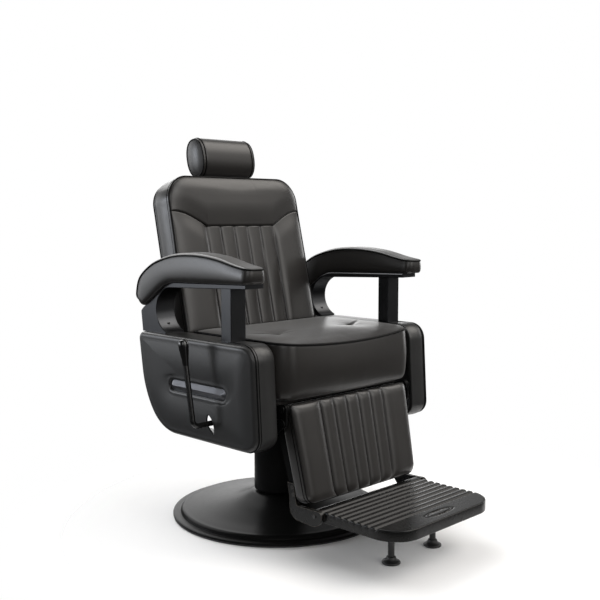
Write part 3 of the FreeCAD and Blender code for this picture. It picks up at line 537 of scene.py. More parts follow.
def sew(piece: Piece, fixed: Array, filling: Filling) -> None:
    """Make a cover cloth that is held at its seams and pressed from inside.

    Args:
        piece: The cover.
        fixed: Share (0 to 1) by which each point is held.
        filling: How hard it is filled.
    """
    group = piece.vertex_groups.new(name="sewn")
    for weight in np.unique(fixed[fixed > 0]):
        group.add(np.flatnonzero(fixed == weight).tolist(), float(weight), "REPLACE")
    cloth = piece.modifiers.new("filling", "CLOTH")
    for key, value in CLOTH.items():
        setattr(cloth.settings, key, value)
    cloth.settings.uniform_pressure_force = filling.pressure
    cloth.settings.shrink_min = -filling.spare
    cloth.settings.vertex_group_mass = "sewn"
    cloth.settings.effector_weights.gravity = 0
    cloth.collision_settings.use_collision = False
    cloth.point_cache.frame_start = 1
    cloth.point_cache.frame_end = filling.frames


def keep_swollen(piece: Piece, fixed: Array, filling: Filling, graph: bpy.types.Depsgraph) -> None:
    """Give a cover its simulated shape: movement cut to the reach, evened, with some of its wrinkles.

    Args:
        piece: The cover.
        fixed: Share (0 to 1) by which each point is held.
        filling: How hard it was filled.
        graph: Evaluated scene at the last frame.
    """
    count = len(piece.data.vertices)
    swollen, rest = np.zeros(count * 3, np.float32), np.zeros(count * 3, np.float32)
    piece.evaluated_get(graph).data.vertices.foreach_get("co", swollen)
    piece.data.vertices.foreach_get("co", rest)
    move = (swollen - rest).reshape(-1, 3)
    far = np.linalg.norm(move, axis=1, keepdims=True)
    move = move * np.minimum(1.0, filling.reach * MM / np.maximum(far, TINY))
    even = calmed(piece, move, 1.0 - np.clip(fixed, 0, 1), filling.calm)
    move = even + filling.crumple * (move - even)
    piece.modifiers.remove(piece.modifiers["filling"])
    piece.vertex_groups.clear()
    piece.data.vertices.foreach_set("co", (rest.reshape(-1, 3) + move).astype(np.float32).ravel())
    piece.data.update()


def stuff(covers: Sequence[Cover]) -> None:
    """Fill covers by cloth simulation and keep the swollen shapes.

    Args:
        covers: Each cover with the share (0 to 1) by which its points are held, and its filling.
    """
    scene = bpy.context.scene
    for cover in covers:
        sew(*cover)
    last = max(filling.frames for _, _, filling in covers)
    for step in range(1, last + 1):
        scene.frame_set(step)
    graph = bpy.context.evaluated_depsgraph_get()
    for cover in covers:
        keep_swollen(*cover, graph)
    scene.frame_set(1)


# Finishes


def linear(code: str) -> Four:
    """Linear colour, with an alpha of 1, of a hex value such as '1d1d1e' by the sRGB curve."""
    parts = [int(code[i:i + 2], 16) / 255 for i in (0, 2, 4)]
    return (*(c / 12.92 if c <= 0.04045 else ((c + 0.055) / 1.055) ** 2.4 for c in parts), 1.0)


def per_mm(size: float) -> float:
    """Texture scale at which one cell of a pattern is size millimetres wide on Object coordinates."""
    return 1.0 / (size * MM)


def add(tree: Tree, kind: str, inputs: Optional[Dict[Any, Any]] = None, **settings: Any) -> Node:
    """Add a node with its settings, and set or link its inputs.

    Args:
        tree: Node tree of a material, a world or a modifier.
        kind: Blender's type name of the node.
        inputs: Value, or socket to link, by input name or number.
        **settings: Properties of the node itself.

    Returns:
        The new node.
    """
    node = tree.nodes.new(kind)
    for key, value in settings.items():
        setattr(node, key, value)
    for key, value in (inputs or {}).items():
        if isinstance(value, bpy.types.NodeSocket):
            tree.links.new(value, node.inputs[key])
        else:
            node.inputs[key].default_value = value
    return node


@dataclass(frozen=True)
class Finish:
    """A surface finish: the record's slot it belongs to, its colours, its gloss and its relief.

    Blotches are soft patterns as (size in millimetres, detail), pulled out along the axes by the stretch.
    """

    name: str
    slot: str
    dark: str
    light: str
    rough: Pair
    metal: float = 0.0
    specular: float = 0.5
    coat: float = 0.0
    coat_rough: float = 0.12
    sheen: float = 0.0
    sheen_rough: float = 0.35
    depth: float = 0.0
    strength: float = 0.3
    blotches: Line = ()
    stretch: Triple = (1.0, 1.0, 1.0)

    def material(self) -> bpy.types.Material:
        """The material of this finish, made once.

        Returns:
            A material that reads Object coordinates.
        """
        found = bpy.data.materials.get(self.name)
        if found:
            return found
        made = bpy.data.materials.new(self.name)
        made.use_nodes = True
        tree = made.node_tree
        tree.nodes.clear()
        where = add(tree, "ShaderNodeTexCoord").outputs["Object"]
        pulled = add(tree, "ShaderNodeMapping", {"Vector": where, "Scale": self.stretch}).outputs["Vector"]
        clouds = []
        for size, detail in self.blotches:
            soft = {"Vector": pulled, "Scale": per_mm(size), "Detail": detail}
            clouds.append(add(tree, "ShaderNodeTexNoise", soft).outputs["Fac"])
        tone, gloss, height = self.patterns(tree, where, clouds)
        smooth, dull = self.rough
        rough = add(tree, "ShaderNodeMapRange", {"Value": gloss, "To Min": smooth, "To Max": dull})
        look = {"Base Color": self.colour(tree, tone, clouds), "Roughness": rough.outputs["Result"],
                "Metallic": self.metal, "Specular IOR Level": self.specular,
                "Coat Weight": self.coat, "Coat Roughness": self.coat_rough,
                "Sheen Weight": self.sheen, "Sheen Roughness": self.sheen_rough}
        if self.depth:
            relief = {"Height": height, "Distance": self.depth * MM, "Strength": self.strength}
            look["Normal"] = add(tree, "ShaderNodeBump", relief).outputs["Normal"]
        shader = add(tree, "ShaderNodeBsdfPrincipled", look)
        add(tree, "ShaderNodeOutputMaterial", {"Surface": shader.outputs["BSDF"]})
        return made

    def patterns(self, tree: Tree, where: Socket, clouds: List[Socket]) -> Patterns:
        """Patterns from 0 to 1 that make the finish uneven: as a rule, its first three blotches.

        Args:
            tree: Node tree of the material.
            where: Coordinates of other patterns.
            clouds: The blotches.

        Returns:
            The patterns of its colour, its roughness and its relief.
        """
        return tuple(clouds[:3])

    def colour(self, tree: Tree, tone: Socket, clouds: List[Socket]) -> Socket:
        """Colour between dark and light, by a pattern from 0 to 1."""
        colours = {"Factor": tone, "A": linear(self.dark), "B": linear(self.light)}
        return add(tree, "ShaderNodeMix", colours, data_type="RGBA").outputs["Result"]


@dataclass(frozen=True)
class FauxLeather(Finish):
    """Embossed PVC on cloth: pebbles with fine valleys break the gloss into a soft, slightly warm sheen."""

    pebble: float = 1.5
    uneven: float = 0.9
    # colour drifts over a hand's width, gloss changes in patches
    blotches: Line = ((70.0, 2.0), (9.0, 3.0))
    depth: float = 0.12
    strength: float = 0.35

    def patterns(self, tree: Tree, where: Socket, clouds: List[Socket]) -> Patterns:
        """Blotches for colour and gloss, and pebbles from cell distances."""
        grain = {"Vector": where, "Scale": per_mm(self.pebble), "Randomness": self.uneven}
        cells = add(tree, "ShaderNodeTexVoronoi", grain, feature="SMOOTH_F1").outputs["Distance"]
        return (*clouds, cells)


@dataclass(frozen=True)
class CoatedMetal(Finish):
    """Baked powder on metal: a faint orange peel that blurs highlights, with slightly uneven gloss."""

    # colour and gloss in wide blotches, orange peel in fine ones
    blotches: Line = ((55.0, 3.0), (14.0, 4.0), (1.6, 2.0))
    depth: float = 0.05
    strength: float = 0.4


@dataclass(frozen=True)
class BrushedMetal(Finish):
    """Metal drawn over an abrasive belt: fine lines one way, so highlights stretch across them."""

    blotches: Line = ((0.8, 3.0),)
    stretch: Triple = (1.0, 1.0, 0.03)
    depth: float = 0.03

    def patterns(self, tree: Tree, where: Socket, clouds: List[Socket]) -> Patterns:
        """The same lines for all three: blotches pulled out along one axis."""
        return tuple(clouds * 3)


@dataclass(frozen=True)
class WearAndHighlightCasting(Finish):
    """Painted sand casting: a dull grain, lighter along its edges, partly from rubbed wear and partly as a
    painted highlight.
    """

    # colour and gloss in wide blotches, the sand's grain in fine ones, and patches of wear and painted
    # highlight
    blotches: Line = ((40.0, 3.0), (30.0, 3.0), (1.4, 2.0), (12.0, 4.0))
    # colour of the edges: worn metal together with a painted highlight
    wear_and_highlight: str = "8a8278"
    rub: float = 2.2
    wear_and_highlight_from: Pair = (0.99, 0.86)
    wear_and_highlight_share: Pair = (0.15, 0.85)
    depth: float = 0.008

    def colour(self, tree: Tree, tone: Socket, clouds: List[Socket]) -> Socket:
        """Paint, lighter where a rounded normal leaves the true one, broken up by the last blotches: worn
        metal and a painted highlight along the edges.

        Args:
            tree: Node tree of the material.
            tone: Pattern of the paint.
            clouds: The blotches.

        Returns:
            The colour.
        """
        soft = add(tree, "ShaderNodeBevel", {"Radius": self.rub * MM}, samples=6).outputs["Normal"]
        true = add(tree, "ShaderNodeNewGeometry").outputs["Normal"]
        near = add(tree, "ShaderNodeVectorMath", {0: soft, 1: true}, operation="DOT_PRODUCT").outputs["Value"]
        level, bent = self.wear_and_highlight_from
        edge = add(tree, "ShaderNodeMapRange", {"Value": near, "From Min": level, "From Max": bent})
        few, many = self.wear_and_highlight_share
        spots = {"Value": clouds[-1], "To Min": few, "To Max": many}
        broken = add(tree, "ShaderNodeMapRange", spots)
        share = add(tree, "ShaderNodeMath", {0: edge.outputs["Result"], 1: broken.outputs["Result"]},
                    operation="MULTIPLY").outputs["Value"]
        colours = {"Factor": share, "A": super().colour(tree, tone, clouds), "B": linear(self.wear_and_highlight)}
        return add(tree, "ShaderNodeMix", colours, data_type="RGBA").outputs["Result"]


@dataclass(frozen=True)
class Moulded(Finish):
    """Moulded plastic or rubber: an even skin with the mould's faint texture and some dust in its gloss."""

    blotches: Line = ((25.0, 2.0), (0.9, 2.0))
    depth: float = 0.03

    def patterns(self, tree: Tree, where: Socket, clouds: List[Socket]) -> Patterns:
        """Colour and gloss drift together over a fine mould texture."""
        drift, texture = clouds
        return drift, drift, texture


@dataclass(frozen=True)
class Plywood(Finish):
    """Stained plywood: faint plies along the edge with streaks of grain, and no relief."""

    ply: float = 3.0
    waver: float = 0.6
    blotches: Line = ((3.0, 4.0),)
    stretch: Triple = (0.06, 1.0, 1.0)
    # a wave of scale 1 has about this many bands in each unit
    bands: float = 6.28

    def patterns(self, tree: Tree, where: Socket, clouds: List[Socket]) -> Patterns:
        """Plies as bands in Z with streaks, which are blotches pulled along X."""
        wave = {"Vector": where, "Scale": per_mm(self.ply) / self.bands, "Distortion": self.waver}
        plies = add(tree, "ShaderNodeTexWave", wave, bands_direction="Z").outputs["Fac"]
        streak = clouds[0]
        both = add(tree, "ShaderNodeMath", {0: plies, 1: streak}, operation="MULTIPLY").outputs["Value"]
        return both, streak, streak


class Finishes(Enum):
    """Every finish on the chair."""

    # black embossed PVC over foam: deep grey-black with a broad soft sheen
    VINYL = FauxLeather("embossed_black_vinyl", "padded_vinyl", "211f1e", "292725", (0.27, 0.37), sheen=0.26)
    # the same hide stretched over boards, a little smoother where it is pulled tight
    SHELL = FauxLeather("stretched_black_vinyl", "vinyl_shell", "212121", "282828", (0.3, 0.4))
    # corded seams in a plainer strip of the hide; the cords are real, but their near-black with little gloss
    # is painted shade that draws each seam as a dark line
    CORD = FauxLeather("black_vinyl_piping", "padded_vinyl", "040404", "070707", (0.45, 0.55), specular=0.12,
                       pebble=0.9)
    # satin black baked powder on steel
    POWDER = CoatedMetal("satin_black_powder_coat", "black_powder_coat", "101010", "141414", (0.25, 0.34),
                         specular=0.03)
    # dark grey metallic coat on cast aluminium: bright where it faces a light, near black elsewhere
    ARM_METAL = BrushedMetal("satin_dark_aluminium", "dark_cast_aluminium", "3c3d3f", "48494b", (0.26, 0.36),
                             metal=1.0)
    # painted casting, worn along the ribs and given a painted highlight on their edges
    CASTING = WearAndHighlightCasting("black_painted_casting", "black_cast_aluminium", "0a0a0a", "0f0f0e", (0.22, 0.32),
                          specular=0.25)
    # ground steel of the ram and pins
    STEEL = BrushedMetal("ground_steel", "bright_steel", "5c5d5f", "6c6d70", (0.22, 0.34), metal=1.0)
    # dark plated trim bars, drawn lengthwise
    TRIM = BrushedMetal("dark_plated_trim", "trim_steel", "737478", "87888c", (0.26, 0.36), metal=1.0,
                        stretch=(1.0, 0.03, 1.0))
    # gloss paint on the lever and the foot stems
    LEVER = CoatedMetal("gloss_black_paint", "black_lever_steel", "0e0e0e", "131313", (0.18, 0.26),
                        depth=0.02)
    # rubber of feet, pedal cover and base edge
    RUBBER = Moulded("moulded_black_rubber", "black_rubber", "0f0f0f", "151515", (0.45, 0.6))
    # nylon bushes
    NYLON = Moulded("moulded_nylon", "moulded_nylon", "c8c4b8", "d4d0c4", (0.4, 0.5))
    # polished plastic knob
    GRIP = Moulded("gloss_black_plastic", "gloss_grip", "0b0b0b", "0e0e0e", (0.12, 0.18), coat=0.4)
    # black-stained boards inside the upholstery
    BOARD = Plywood("black_stained_plywood", "plywood", "14110f", "211c18", (0.5, 0.65))


def dress(piece: Piece, finish: Finishes) -> None:
    """Give a piece its finish.

    Args:
        piece: New piece or node of the frame.
        finish: Its finish.
    """
    piece.data.materials.clear()
    piece.data.materials.append(finish.value.material())


def settle(piece: Piece, finish: Finishes, body: str, *nodes: str) -> None:
    """Dress a new piece, let it ride on its body and stand for the nodes it replaces.

    Args:
        piece: The new piece.
        finish: Its finish.
        body: Body of the frame that carries it.
        *nodes: Nodes that it is shown in place of.
    """
    dress(piece, finish)
    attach(piece, body)
    if nodes:
        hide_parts(*nodes)
    log.info("%s rides on %s", piece.name, body)


class Upholstery:
    """The covers made so far, which are filled together at the end, and how covers and seams are sewn."""

    def __init__(self) -> None:
        """Start without covers."""
        self.covers: List[Cover] = []

    def padded(self, cover: Cover, finish: Finishes, body: str, node: str) -> None:
        """Dress a cover and note it for filling.

        Args:
            cover: The cover with its held points and its filling.
            finish: Its finish.
            body: Body that carries it.
            node: Node that it replaces.
        """
        piece, _, filling = cover
        settle(piece, finish, body, node)
        self.covers.append(cover)

    def cord(self, pad: Pad, name: str, radius: float, body: str, up: Triple, at: Pair = (0.4, 0.6)) -> None:
        """Lay a cord round the border of a pad's face, moved out and lifted by the two lengths of at."""
        settle(piping(name, pad.rim(*at), radius, up), Finishes.CORD, body)

    def stitch(self, lines: Sequence[Array], name: str, radius: float, body: str, up: Triple) -> None:
        """Lay thin near-black cords in sewn seams: painted shade in the seams' creases."""
        for number, line in enumerate(lines):
            settle(piping("%s_%d" % (name, number), line, radius, up, closed=False), Finishes.CORD, body)


# Base and column


@dataclass
class Base:
    """Round dish on the floor, which the pump column stands in.

    Lines are (radius, height) points. The rim's count in from the rim, the foot's out from the bead.
    """

    rim: float = 310.0
    rim_line: Line = ((0.0, 5.0), (0.0, 8.6), (0.7, 10.3), (2.4, 11.0), (8.0, 11.2))
    bead: float = 288.5
    foot_line: Line = ((6.0, 11.2), (1.5, 11.6))
    step_at: Pair = (288.1, 12.4)
    step: Pair = (13.0, 10.4)
    step_points: int = 14
    slope_line: Line = ((268.0, 23.0), (212.0, 28.5), (150.0, 38.5), (111.8, 49.4), (76.0, 66.5))
    slope_points: int = 40
    hole: float = 38.0
    hole_edge: float = 2.0
    wall: float = 4.0
    inner_line: Line = ((285.2, 6.5), (285.2, 5.0))
    sides: int = 180

    def dish_line(self) -> Array:
        """Upper line of the dish: flat rim, round bead, then a slope that steepens.

        Returns:
            Points as (radius, height), from the rim inwards.
        """
        rim = np.array([(self.rim - inset, z) for inset, z in self.rim_line])
        foot = np.array([(self.bead + out, z) for out, z in self.foot_line])
        turn = np.linspace(0, QUARTER, self.step_points)
        step = np.stack([self.step_at[0] - self.step[0] * (1 - np.cos(turn)),
                         self.step_at[1] + self.step[1] * np.sin(turn)], axis=-1)
        return np.vstack([rim, foot, step, smooth_line(self.slope_line, self.slope_points)])

    def build(self) -> None:
        """Turn the dish as one shell with an even wall and a hole for the column."""
        top = self.dish_line()
        crown = self.slope_line[-1][1]
        hub = [(self.hole + self.hole_edge, crown), (self.hole, crown), (self.hole, crown - self.wall)]
        hollow = len(self.rim_line) + len(self.foot_line)
        under = top[hollow:][::-1] - np.array([0.0, self.wall])
        points, quads = turned(np.vstack([top, hub, under, self.inner_line]), self.sides)
        settle(put_down("base_dish", points, [quads], crease=35.0), Finishes.POWDER, "base", "base_shell")


# Seat


@dataclass
class Seat:
    """Boxed seat cushion with a bowed front, two sewn tufts and a corded edge.

    A dimple of a tuft is (share of its depth, width). A fold that leaves a tuft is (angle in degrees, length,
    width, depth). A span is (start of a slope, its length).
    """

    shop: Upholstery
    half: float = 260.0
    front: float = -285.0
    rear: float = 69.0
    corner: float = 52.0
    rear_corner: float = 16.0
    edge_z: float = 549.0
    low_z: float = 403.0
    crown: float = 7.0
    crown_side: float = 0.14
    crown_end: float = 0.12
    fall: float = 14.0
    fall_side: float = 1.0
    fall_span: Pair = (150.0, 135.0)
    bow: float = 13.0
    bow_span: Pair = (60.0, 200.0)
    lift: float = 7.0
    lift_span: Pair = (10.0, 40.0)
    lift_below: float = 430.0
    tuft: Pair = (150.0, -145.0)
    tuft_depth: float = 8.0
    tuft_held: float = 9.0
    dimples: Line = ((0.4, 24.0), (0.6, 9.0))
    folds: Tuple[Four, ...] = (
        (24.0, 90.0, 5.0, 4.0), (168.0, 90.0, 6.0, 2.2), (196.0, 70.0, 5.0, 1.6), (-62.0, 50.0, 8.0, 1.0))
    fold_start: float = 12.0
    fold_fade: float = 0.7
    bulge: float = 5.0
    tuck: float = 9.0
    corner_rows: int = 14
    middle_rows: int = 62
    columns: int = 111
    crowd: float = 0.94
    wall_rows: int = 22
    cord: float = 3.3
    cord_at: Pair = (1.0, 1.2)
    filling: Filling = Filling(0.7, 4.0, 0.003, 4.0)

    def rows(self) -> Array:
        """Rows from front to rear that crowd round the corners.

        Returns:
            Places along Y.
        """
        turn = np.linspace(0, QUARTER, self.corner_rows)
        front = self.front + self.corner * (1 - np.cos(turn))
        middle = np.linspace(self.front + self.corner, self.rear - self.rear_corner, self.middle_rows)[1:-1]
        rear = self.rear - self.rear_corner * (1 - np.cos(turn[::-2]))
        return np.concatenate([front, middle, rear])

    def half_at(self, y: Array) -> Array:
        """Half width at y: straight sides with round corners."""
        half = rounded(self.half, self.corner, self.front + self.corner - y)
        return rounded(half, self.rear_corner, y - self.rear + self.rear_corner)

    def top(self, x: Array, y: Array) -> Array:
        """Height of the sewn face: the corded edge, a crown over it, two tufts and the folds that leave them.

        Args:
            x: Places across.
            y: Places along.

        Returns:
            Height at each place.
        """
        fore = slope(-y, self.fall_span)
        edge = self.edge_z - fore * (self.fall_side + self.fall * (1 - (x / self.half) ** 2))
        u = np.clip(np.abs(x) / self.half_at(y), 0, 1)
        v = np.clip((y - self.front) / (self.rear - self.front), 0, 1)
        rise = lip((1 - u) / self.crown_side) * lip(v / self.crown_end) * lip((1 - v) / self.crown_end)
        z = edge + self.crown * rise
        for side in Side:
            dx, dy = x - side.value * self.tuft[0], y - self.tuft[1]
            near = np.hypot(dx, dy)
            z = z - self.tuft_depth * sum(share * bell(near / wide) for share, wide in self.dimples) * rise
            z = z - rise * self.creased(side.value * dx, dy)
        return z

    def creased(self, out: Array, back: Array) -> Array:
        """Depth of the folds at one tuft: a bell across each, which eases in at its start and fades along it.

        Args:
            out: Places counted from the tuft to the side.
            back: Places counted from the tuft to the rear.

        Returns:
            Depth at each place.
        """
        depth = np.zeros_like(out)
        for angle, length, width, deep in self.folds:
            c, s = math.cos(math.radians(angle)), math.sin(math.radians(angle))
            run, off = out * c + back * s, -out * s + back * c
            fade = ease((length - run) / (self.fold_fade * length))
            depth = depth + deep * bell(off / width) * ease(run / self.fold_start) * fade
        return depth

    def place(self, across: Array, along: Array, level: Array) -> Array:
        """Plan (x, y) and height to space, the front bowed forwards, the low rear edge lifted off the links.

        Args:
            across: Places in X.
            along: Places in Y before the bow.
            level: Heights before the lift.

        Returns:
            Points in space.
        """
        bowed = slope(-along, self.bow_span)
        bowed = bowed * np.maximum(0.0, 1 - (across / self.half) ** 2)
        low = np.clip((self.lift_below - level) / (self.lift_below - self.low_z), 0, 1)
        lifted = self.lift * slope(along, self.lift_span) * low
        return np.stack(np.broadcast_arrays(across, along - self.bow * bowed, level + lifted), axis=-1)

    def pad(self) -> Pad:
        """The cushion as a boxed pad.

        Returns:
            The pad, held at its tufts.
        """
        y = self.rows()[:, None]
        turn = np.linspace(-1, 1, self.columns) * QUARTER * self.crowd
        x = (np.sin(turn) / math.sin(QUARTER * self.crowd))[None, :] * self.half_at(y)
        y = np.broadcast_to(y, x.shape)
        near = np.hypot(np.abs(x) - self.tuft[0], y - self.tuft[1])
        held = np.where(near < self.tuft_held, 1.0, 0.0)
        return Pad("seat_cushion_cover", x, y, self.top(x, y), self.low_z, self.bulge, self.place,
                   self.wall_rows, held, self.tuck)

    def build(self) -> None:
        """Sew the cushion and its corded edge."""
        pad = self.pad()
        self.shop.padded((pad.build(), pad.fixed, self.filling), Finishes.VINYL, "seat_unit", "seat_cushion")
        self.shop.cord(pad, "seat_piping", self.cord, "seat_unit", UP, self.cord_at)


# Back


@dataclass
class Back:
    """Tilted back: channelled panel and bolsters under a smooth yoke, with a corded edge and boxed sides.

    Widths across are in millimetres, and a lip is the share of a cell over which it rises from its seam. The
    names with over give the height along which a swell comes in.
    """

    shop: Upholstery
    tilt: float = 12.5
    at: Pair = (112.0, 620.0)
    half: float = 255.0
    narrow: float = 4.0
    narrow_over: float = 300.0
    low: float = -91.0
    high: float = 372.0
    corner: float = 72.0
    low_corner: float = 14.0
    seam_x: float = 131.0
    channels: int = 5
    yoke: float = 226.0
    yoke_climb: float = 45.0
    yoke_power: float = 1.15
    thick: float = 80.0
    seam_level: float = -5.0
    channel_crown: float = 7.0
    channel_power: float = 0.34
    channel_end: Pair = (0.85, 0.15)
    bolster_crown: float = 11.0
    bolster_lips: Pair = (0.22, 0.5)
    bolster_end: Pair = (0.5, 0.5)
    end_over: float = 60.0
    low_over: float = 26.0
    yoke_crown: Pair = (7.5, 6.5)
    yoke_over: float = 70.0
    yoke_lip: float = 0.22
    high_over: float = 40.0
    groove: float = 2.2
    groove_wide: float = 1.8
    groove_lip: float = 0.06
    panel_steps: int = 22
    channel_steps: int = 12
    low_rows: int = 62
    yoke_rows: int = 30
    arch_rows: int = 20
    arch_skip: int = 8
    arch_from: float = 0.62
    wall_rows: int = 16
    bulge: float = 2.5
    tuck: float = 9.0
    cord: float = 2.7
    boxing_cord: float = 1.1
    boxing_at: Pair = (0.8, -10.0)
    # thin dark cords in the face's seams and the yoke seam: painted shade in their creases
    seam_cord: float = 0.7
    seam_shade_level: float = -4.6
    seam_shade_from: float = 12.0
    seam_shade_points: int = 60
    yoke_shade_points: int = 160
    yoke_shade_end: float = 0.985
    yoke_shade_at: float = 0.6
    yoke_shade_fall: float = 4.5
    yoke_shade_bend: Pair = (0.86, 0.12)
    filling: Filling = Filling(0.75, 4.0, 0.002, 3.0)

    def place(self, across: Array, along: Array, level: Array) -> Array:
        """Across, up the back and forwards of it, to space."""
        return leaned(self.tilt, self.at, across, along, level)

    def half_at(self, h: Array) -> Array:
        """Half width at a height up the back, drawn in a little and rounded at the corners."""
        half = rounded(self.half - self.narrow * ease(h / self.narrow_over), self.corner,
                       h - self.high + self.corner)
        return rounded(half, self.low_corner, self.low + self.low_corner - h)

    def seam_at(self, x: Array) -> Array:
        """Height of the yoke seam: level over the channels, then climbing in a curve to the sides."""
        t = np.clip((np.abs(x) - self.seam_x) / (self.half - self.narrow - self.seam_x), 0, 1)
        return self.yoke + self.yoke_climb * np.sin(t * QUARTER) ** self.yoke_power

    def pad(self) -> Pad:
        """The front cushion as a boxed pad whose rows follow the yoke seam.

        Returns:
            The pad, held along its seams.
        """
        u, on = channel_columns(self.seam_x / self.half, self.channels, self.panel_steps, self.channel_steps)
        seam = self.seam_at(u * self.half)[None, :]
        below = cosine_steps(0, 1, self.low_rows)[:, None]
        yoke = cosine_steps(0, 1, self.yoke_rows)[1:-self.arch_skip] * self.arch_from
        arch = np.sin(np.linspace(0, QUARTER, self.arch_rows))
        top = np.concatenate([yoke, self.arch_from + (1 - self.arch_from) * arch])
        top = np.unique(np.round(top, 5))[:, None]
        h = np.vstack([self.low + (seam - self.low) * below, seam + (self.high - seam) * top])
        half = self.half_at(h)
        x = u[None, :] * half
        held = np.zeros(h.shape)
        held[len(below) - 1, :] = 1.0
        held[:len(below), on] = 1.0
        level = self.face(x, h, half, seam)
        return Pad("back_cushion_cover", x, h, level, -self.thick, self.bulge, self.place, self.wall_rows,
                   held, self.tuck)

    def face(self, x: Array, h: Array, half: Array, seam: Array) -> Array:
        """Height of the sewn face over the board's front plane.

        Below the yoke seam each cell stands up as a round lip from its seams, bolsters more than channels.
        Above it one smooth swell falls to the corded edge. Both sides drop into a narrow groove at the seam.

        Args:
            x: Places across.
            h: Places up the back.
            half: Half width at each place.
            seam: Height of the yoke seam at each column.

        Returns:
            Height at each place.
        """
        t, side = cell_share(x, self.seam_x, half, self.channels)
        near, far = self.bolster_lips
        hump = np.where(side, lip(t / near) * lip((1 - t) / far), (4 * t * (1 - t)) ** self.channel_power)
        crown = np.where(side, self.bolster_crown, self.channel_crown)
        start, more = [np.where(side, a, b) for a, b in zip(self.bolster_end, self.channel_end)]
        under = start + more * ease((seam - h) / self.end_over)
        lower = self.seam_level + crown * hump * under * lip((h - self.low) / self.low_over)
        u = np.clip(np.abs(x) / half, 0, 1)
        swell = lip((1 - u) / self.yoke_lip) * lip((self.high - h) / self.high_over)
        start, more = self.yoke_crown
        upper = self.seam_level + swell * (start + more * ease((h - seam) / self.yoke_over))
        groove = self.groove * bell((h - seam) / self.groove_wide) * lip((1 - u) / self.groove_lip)
        return np.where(h <= seam + SAME, lower, upper) - groove

    def seams(self) -> List[Array]:
        """Lines of the sewn seams in space: one up each side of every channel, and the yoke's.

        Returns:
            Points of each line.
        """
        lines = []
        level = np.full(self.seam_shade_points, self.seam_shade_level)
        for u in np.linspace(-self.seam_x, self.seam_x, self.channels + 1) / self.half:
            top = float(self.seam_at(np.array(u * self.half)))
            h = np.linspace(self.low + self.seam_shade_from, top, self.seam_shade_points)
            lines.append(self.place(u * self.half_at(h), h, level))
        u = np.linspace(-self.yoke_shade_end, self.yoke_shade_end, self.yoke_shade_points)
        h = self.seam_at(u * self.half)
        level = self.yoke_shade_at - self.yoke_shade_fall * slope(np.abs(u), self.yoke_shade_bend)
        lines.append(self.place(u * self.half_at(h), h - self.yoke_shade_at, level))
        return lines

    def build(self) -> None:
        """Sew the cushion, its corded edge, its boxing seam and the seams of its face, with dark cords of
        painted shade in the face's seams.
        """
        pad, up = self.pad(), facing(self.tilt)
        self.shop.padded((pad.build(), pad.fixed, self.filling), Finishes.VINYL, "backrest", "back_cushion")
        self.shop.cord(pad, "back_piping", self.cord, "backrest", up)
        self.shop.cord(pad, "back_boxing_seam", self.boxing_cord, "backrest", up, self.boxing_at)
        self.shop.stitch(self.seams(), "back_seam", self.seam_cord, "backrest", up)


# Rear cover of the back


@dataclass
class RearCover:
    """Upholstered shell behind the back board, softly crowned, with a corded edge."""

    back: Back
    half: float = 249.0
    low: float = -54.0
    high: float = 364.0
    corner: float = 66.0
    low_corner: float = 10.0
    front: float = 70.0
    deep: float = 20.0
    crown: float = 9.0
    crown_lip: float = 0.3
    high_over: float = 70.0
    low_over: float = 50.0
    corner_rows: int = 20
    middle_rows: int = 40
    middle_from: float = 12.0
    columns: int = 60
    wall_rows: int = 8
    bulge: float = 2.0
    cord: float = 2.2
    filling: Filling = Filling(0.8, 3.0, 0.0, 2.0)

    def place(self, across: Array, along: Array, level: Array) -> Array:
        """Across, up the back and rearwards of its plane, to space."""
        return self.back.place(across, along, -level)

    def half_at(self, h: Array) -> Array:
        """Half width at a height, rounded at the corners."""
        half = rounded(self.half, self.corner, h - self.high + self.corner)
        return rounded(half, self.low_corner, self.low + self.low_corner - h)

    def pad(self) -> Pad:
        """The cover as a boxed pad that swells rearwards.

        Returns:
            The pad.
        """
        turn = np.linspace(0, QUARTER, self.corner_rows)
        shoulder = self.high - self.corner
        rows = [self.low + self.low_corner * (1 - np.cos(turn[::3])),
                np.linspace(self.low + self.middle_from, shoulder, self.middle_rows),
                shoulder + self.corner * np.sin(turn[1:])]
        h = np.concatenate(rows)[:, None]
        x = cosine_steps(-1, 1, self.columns)[None, :] * self.half_at(h)
        h = np.broadcast_to(h, x.shape)
        u = np.abs(x) / self.half_at(h)
        rise = lip((1 - u) / self.crown_lip) * lip((self.high - h) / self.high_over)
        rise = rise * lip((h - self.low) / self.low_over)
        level = self.front + self.deep - self.crown + self.crown * rise
        return Pad("back_cover_skin", x, h, level, self.front, self.bulge, self.place, self.wall_rows)

    def build(self) -> None:
        """Sew the cover and its corded edge."""
        pad = self.pad()
        shop = self.back.shop
        shop.padded((pad.build(), pad.fixed, self.filling), Finishes.SHELL, "backrest", "back_cover")
        shop.cord(pad, "back_cover_piping", self.cord, "backrest", facing(self.back.tilt))


# Leg rest


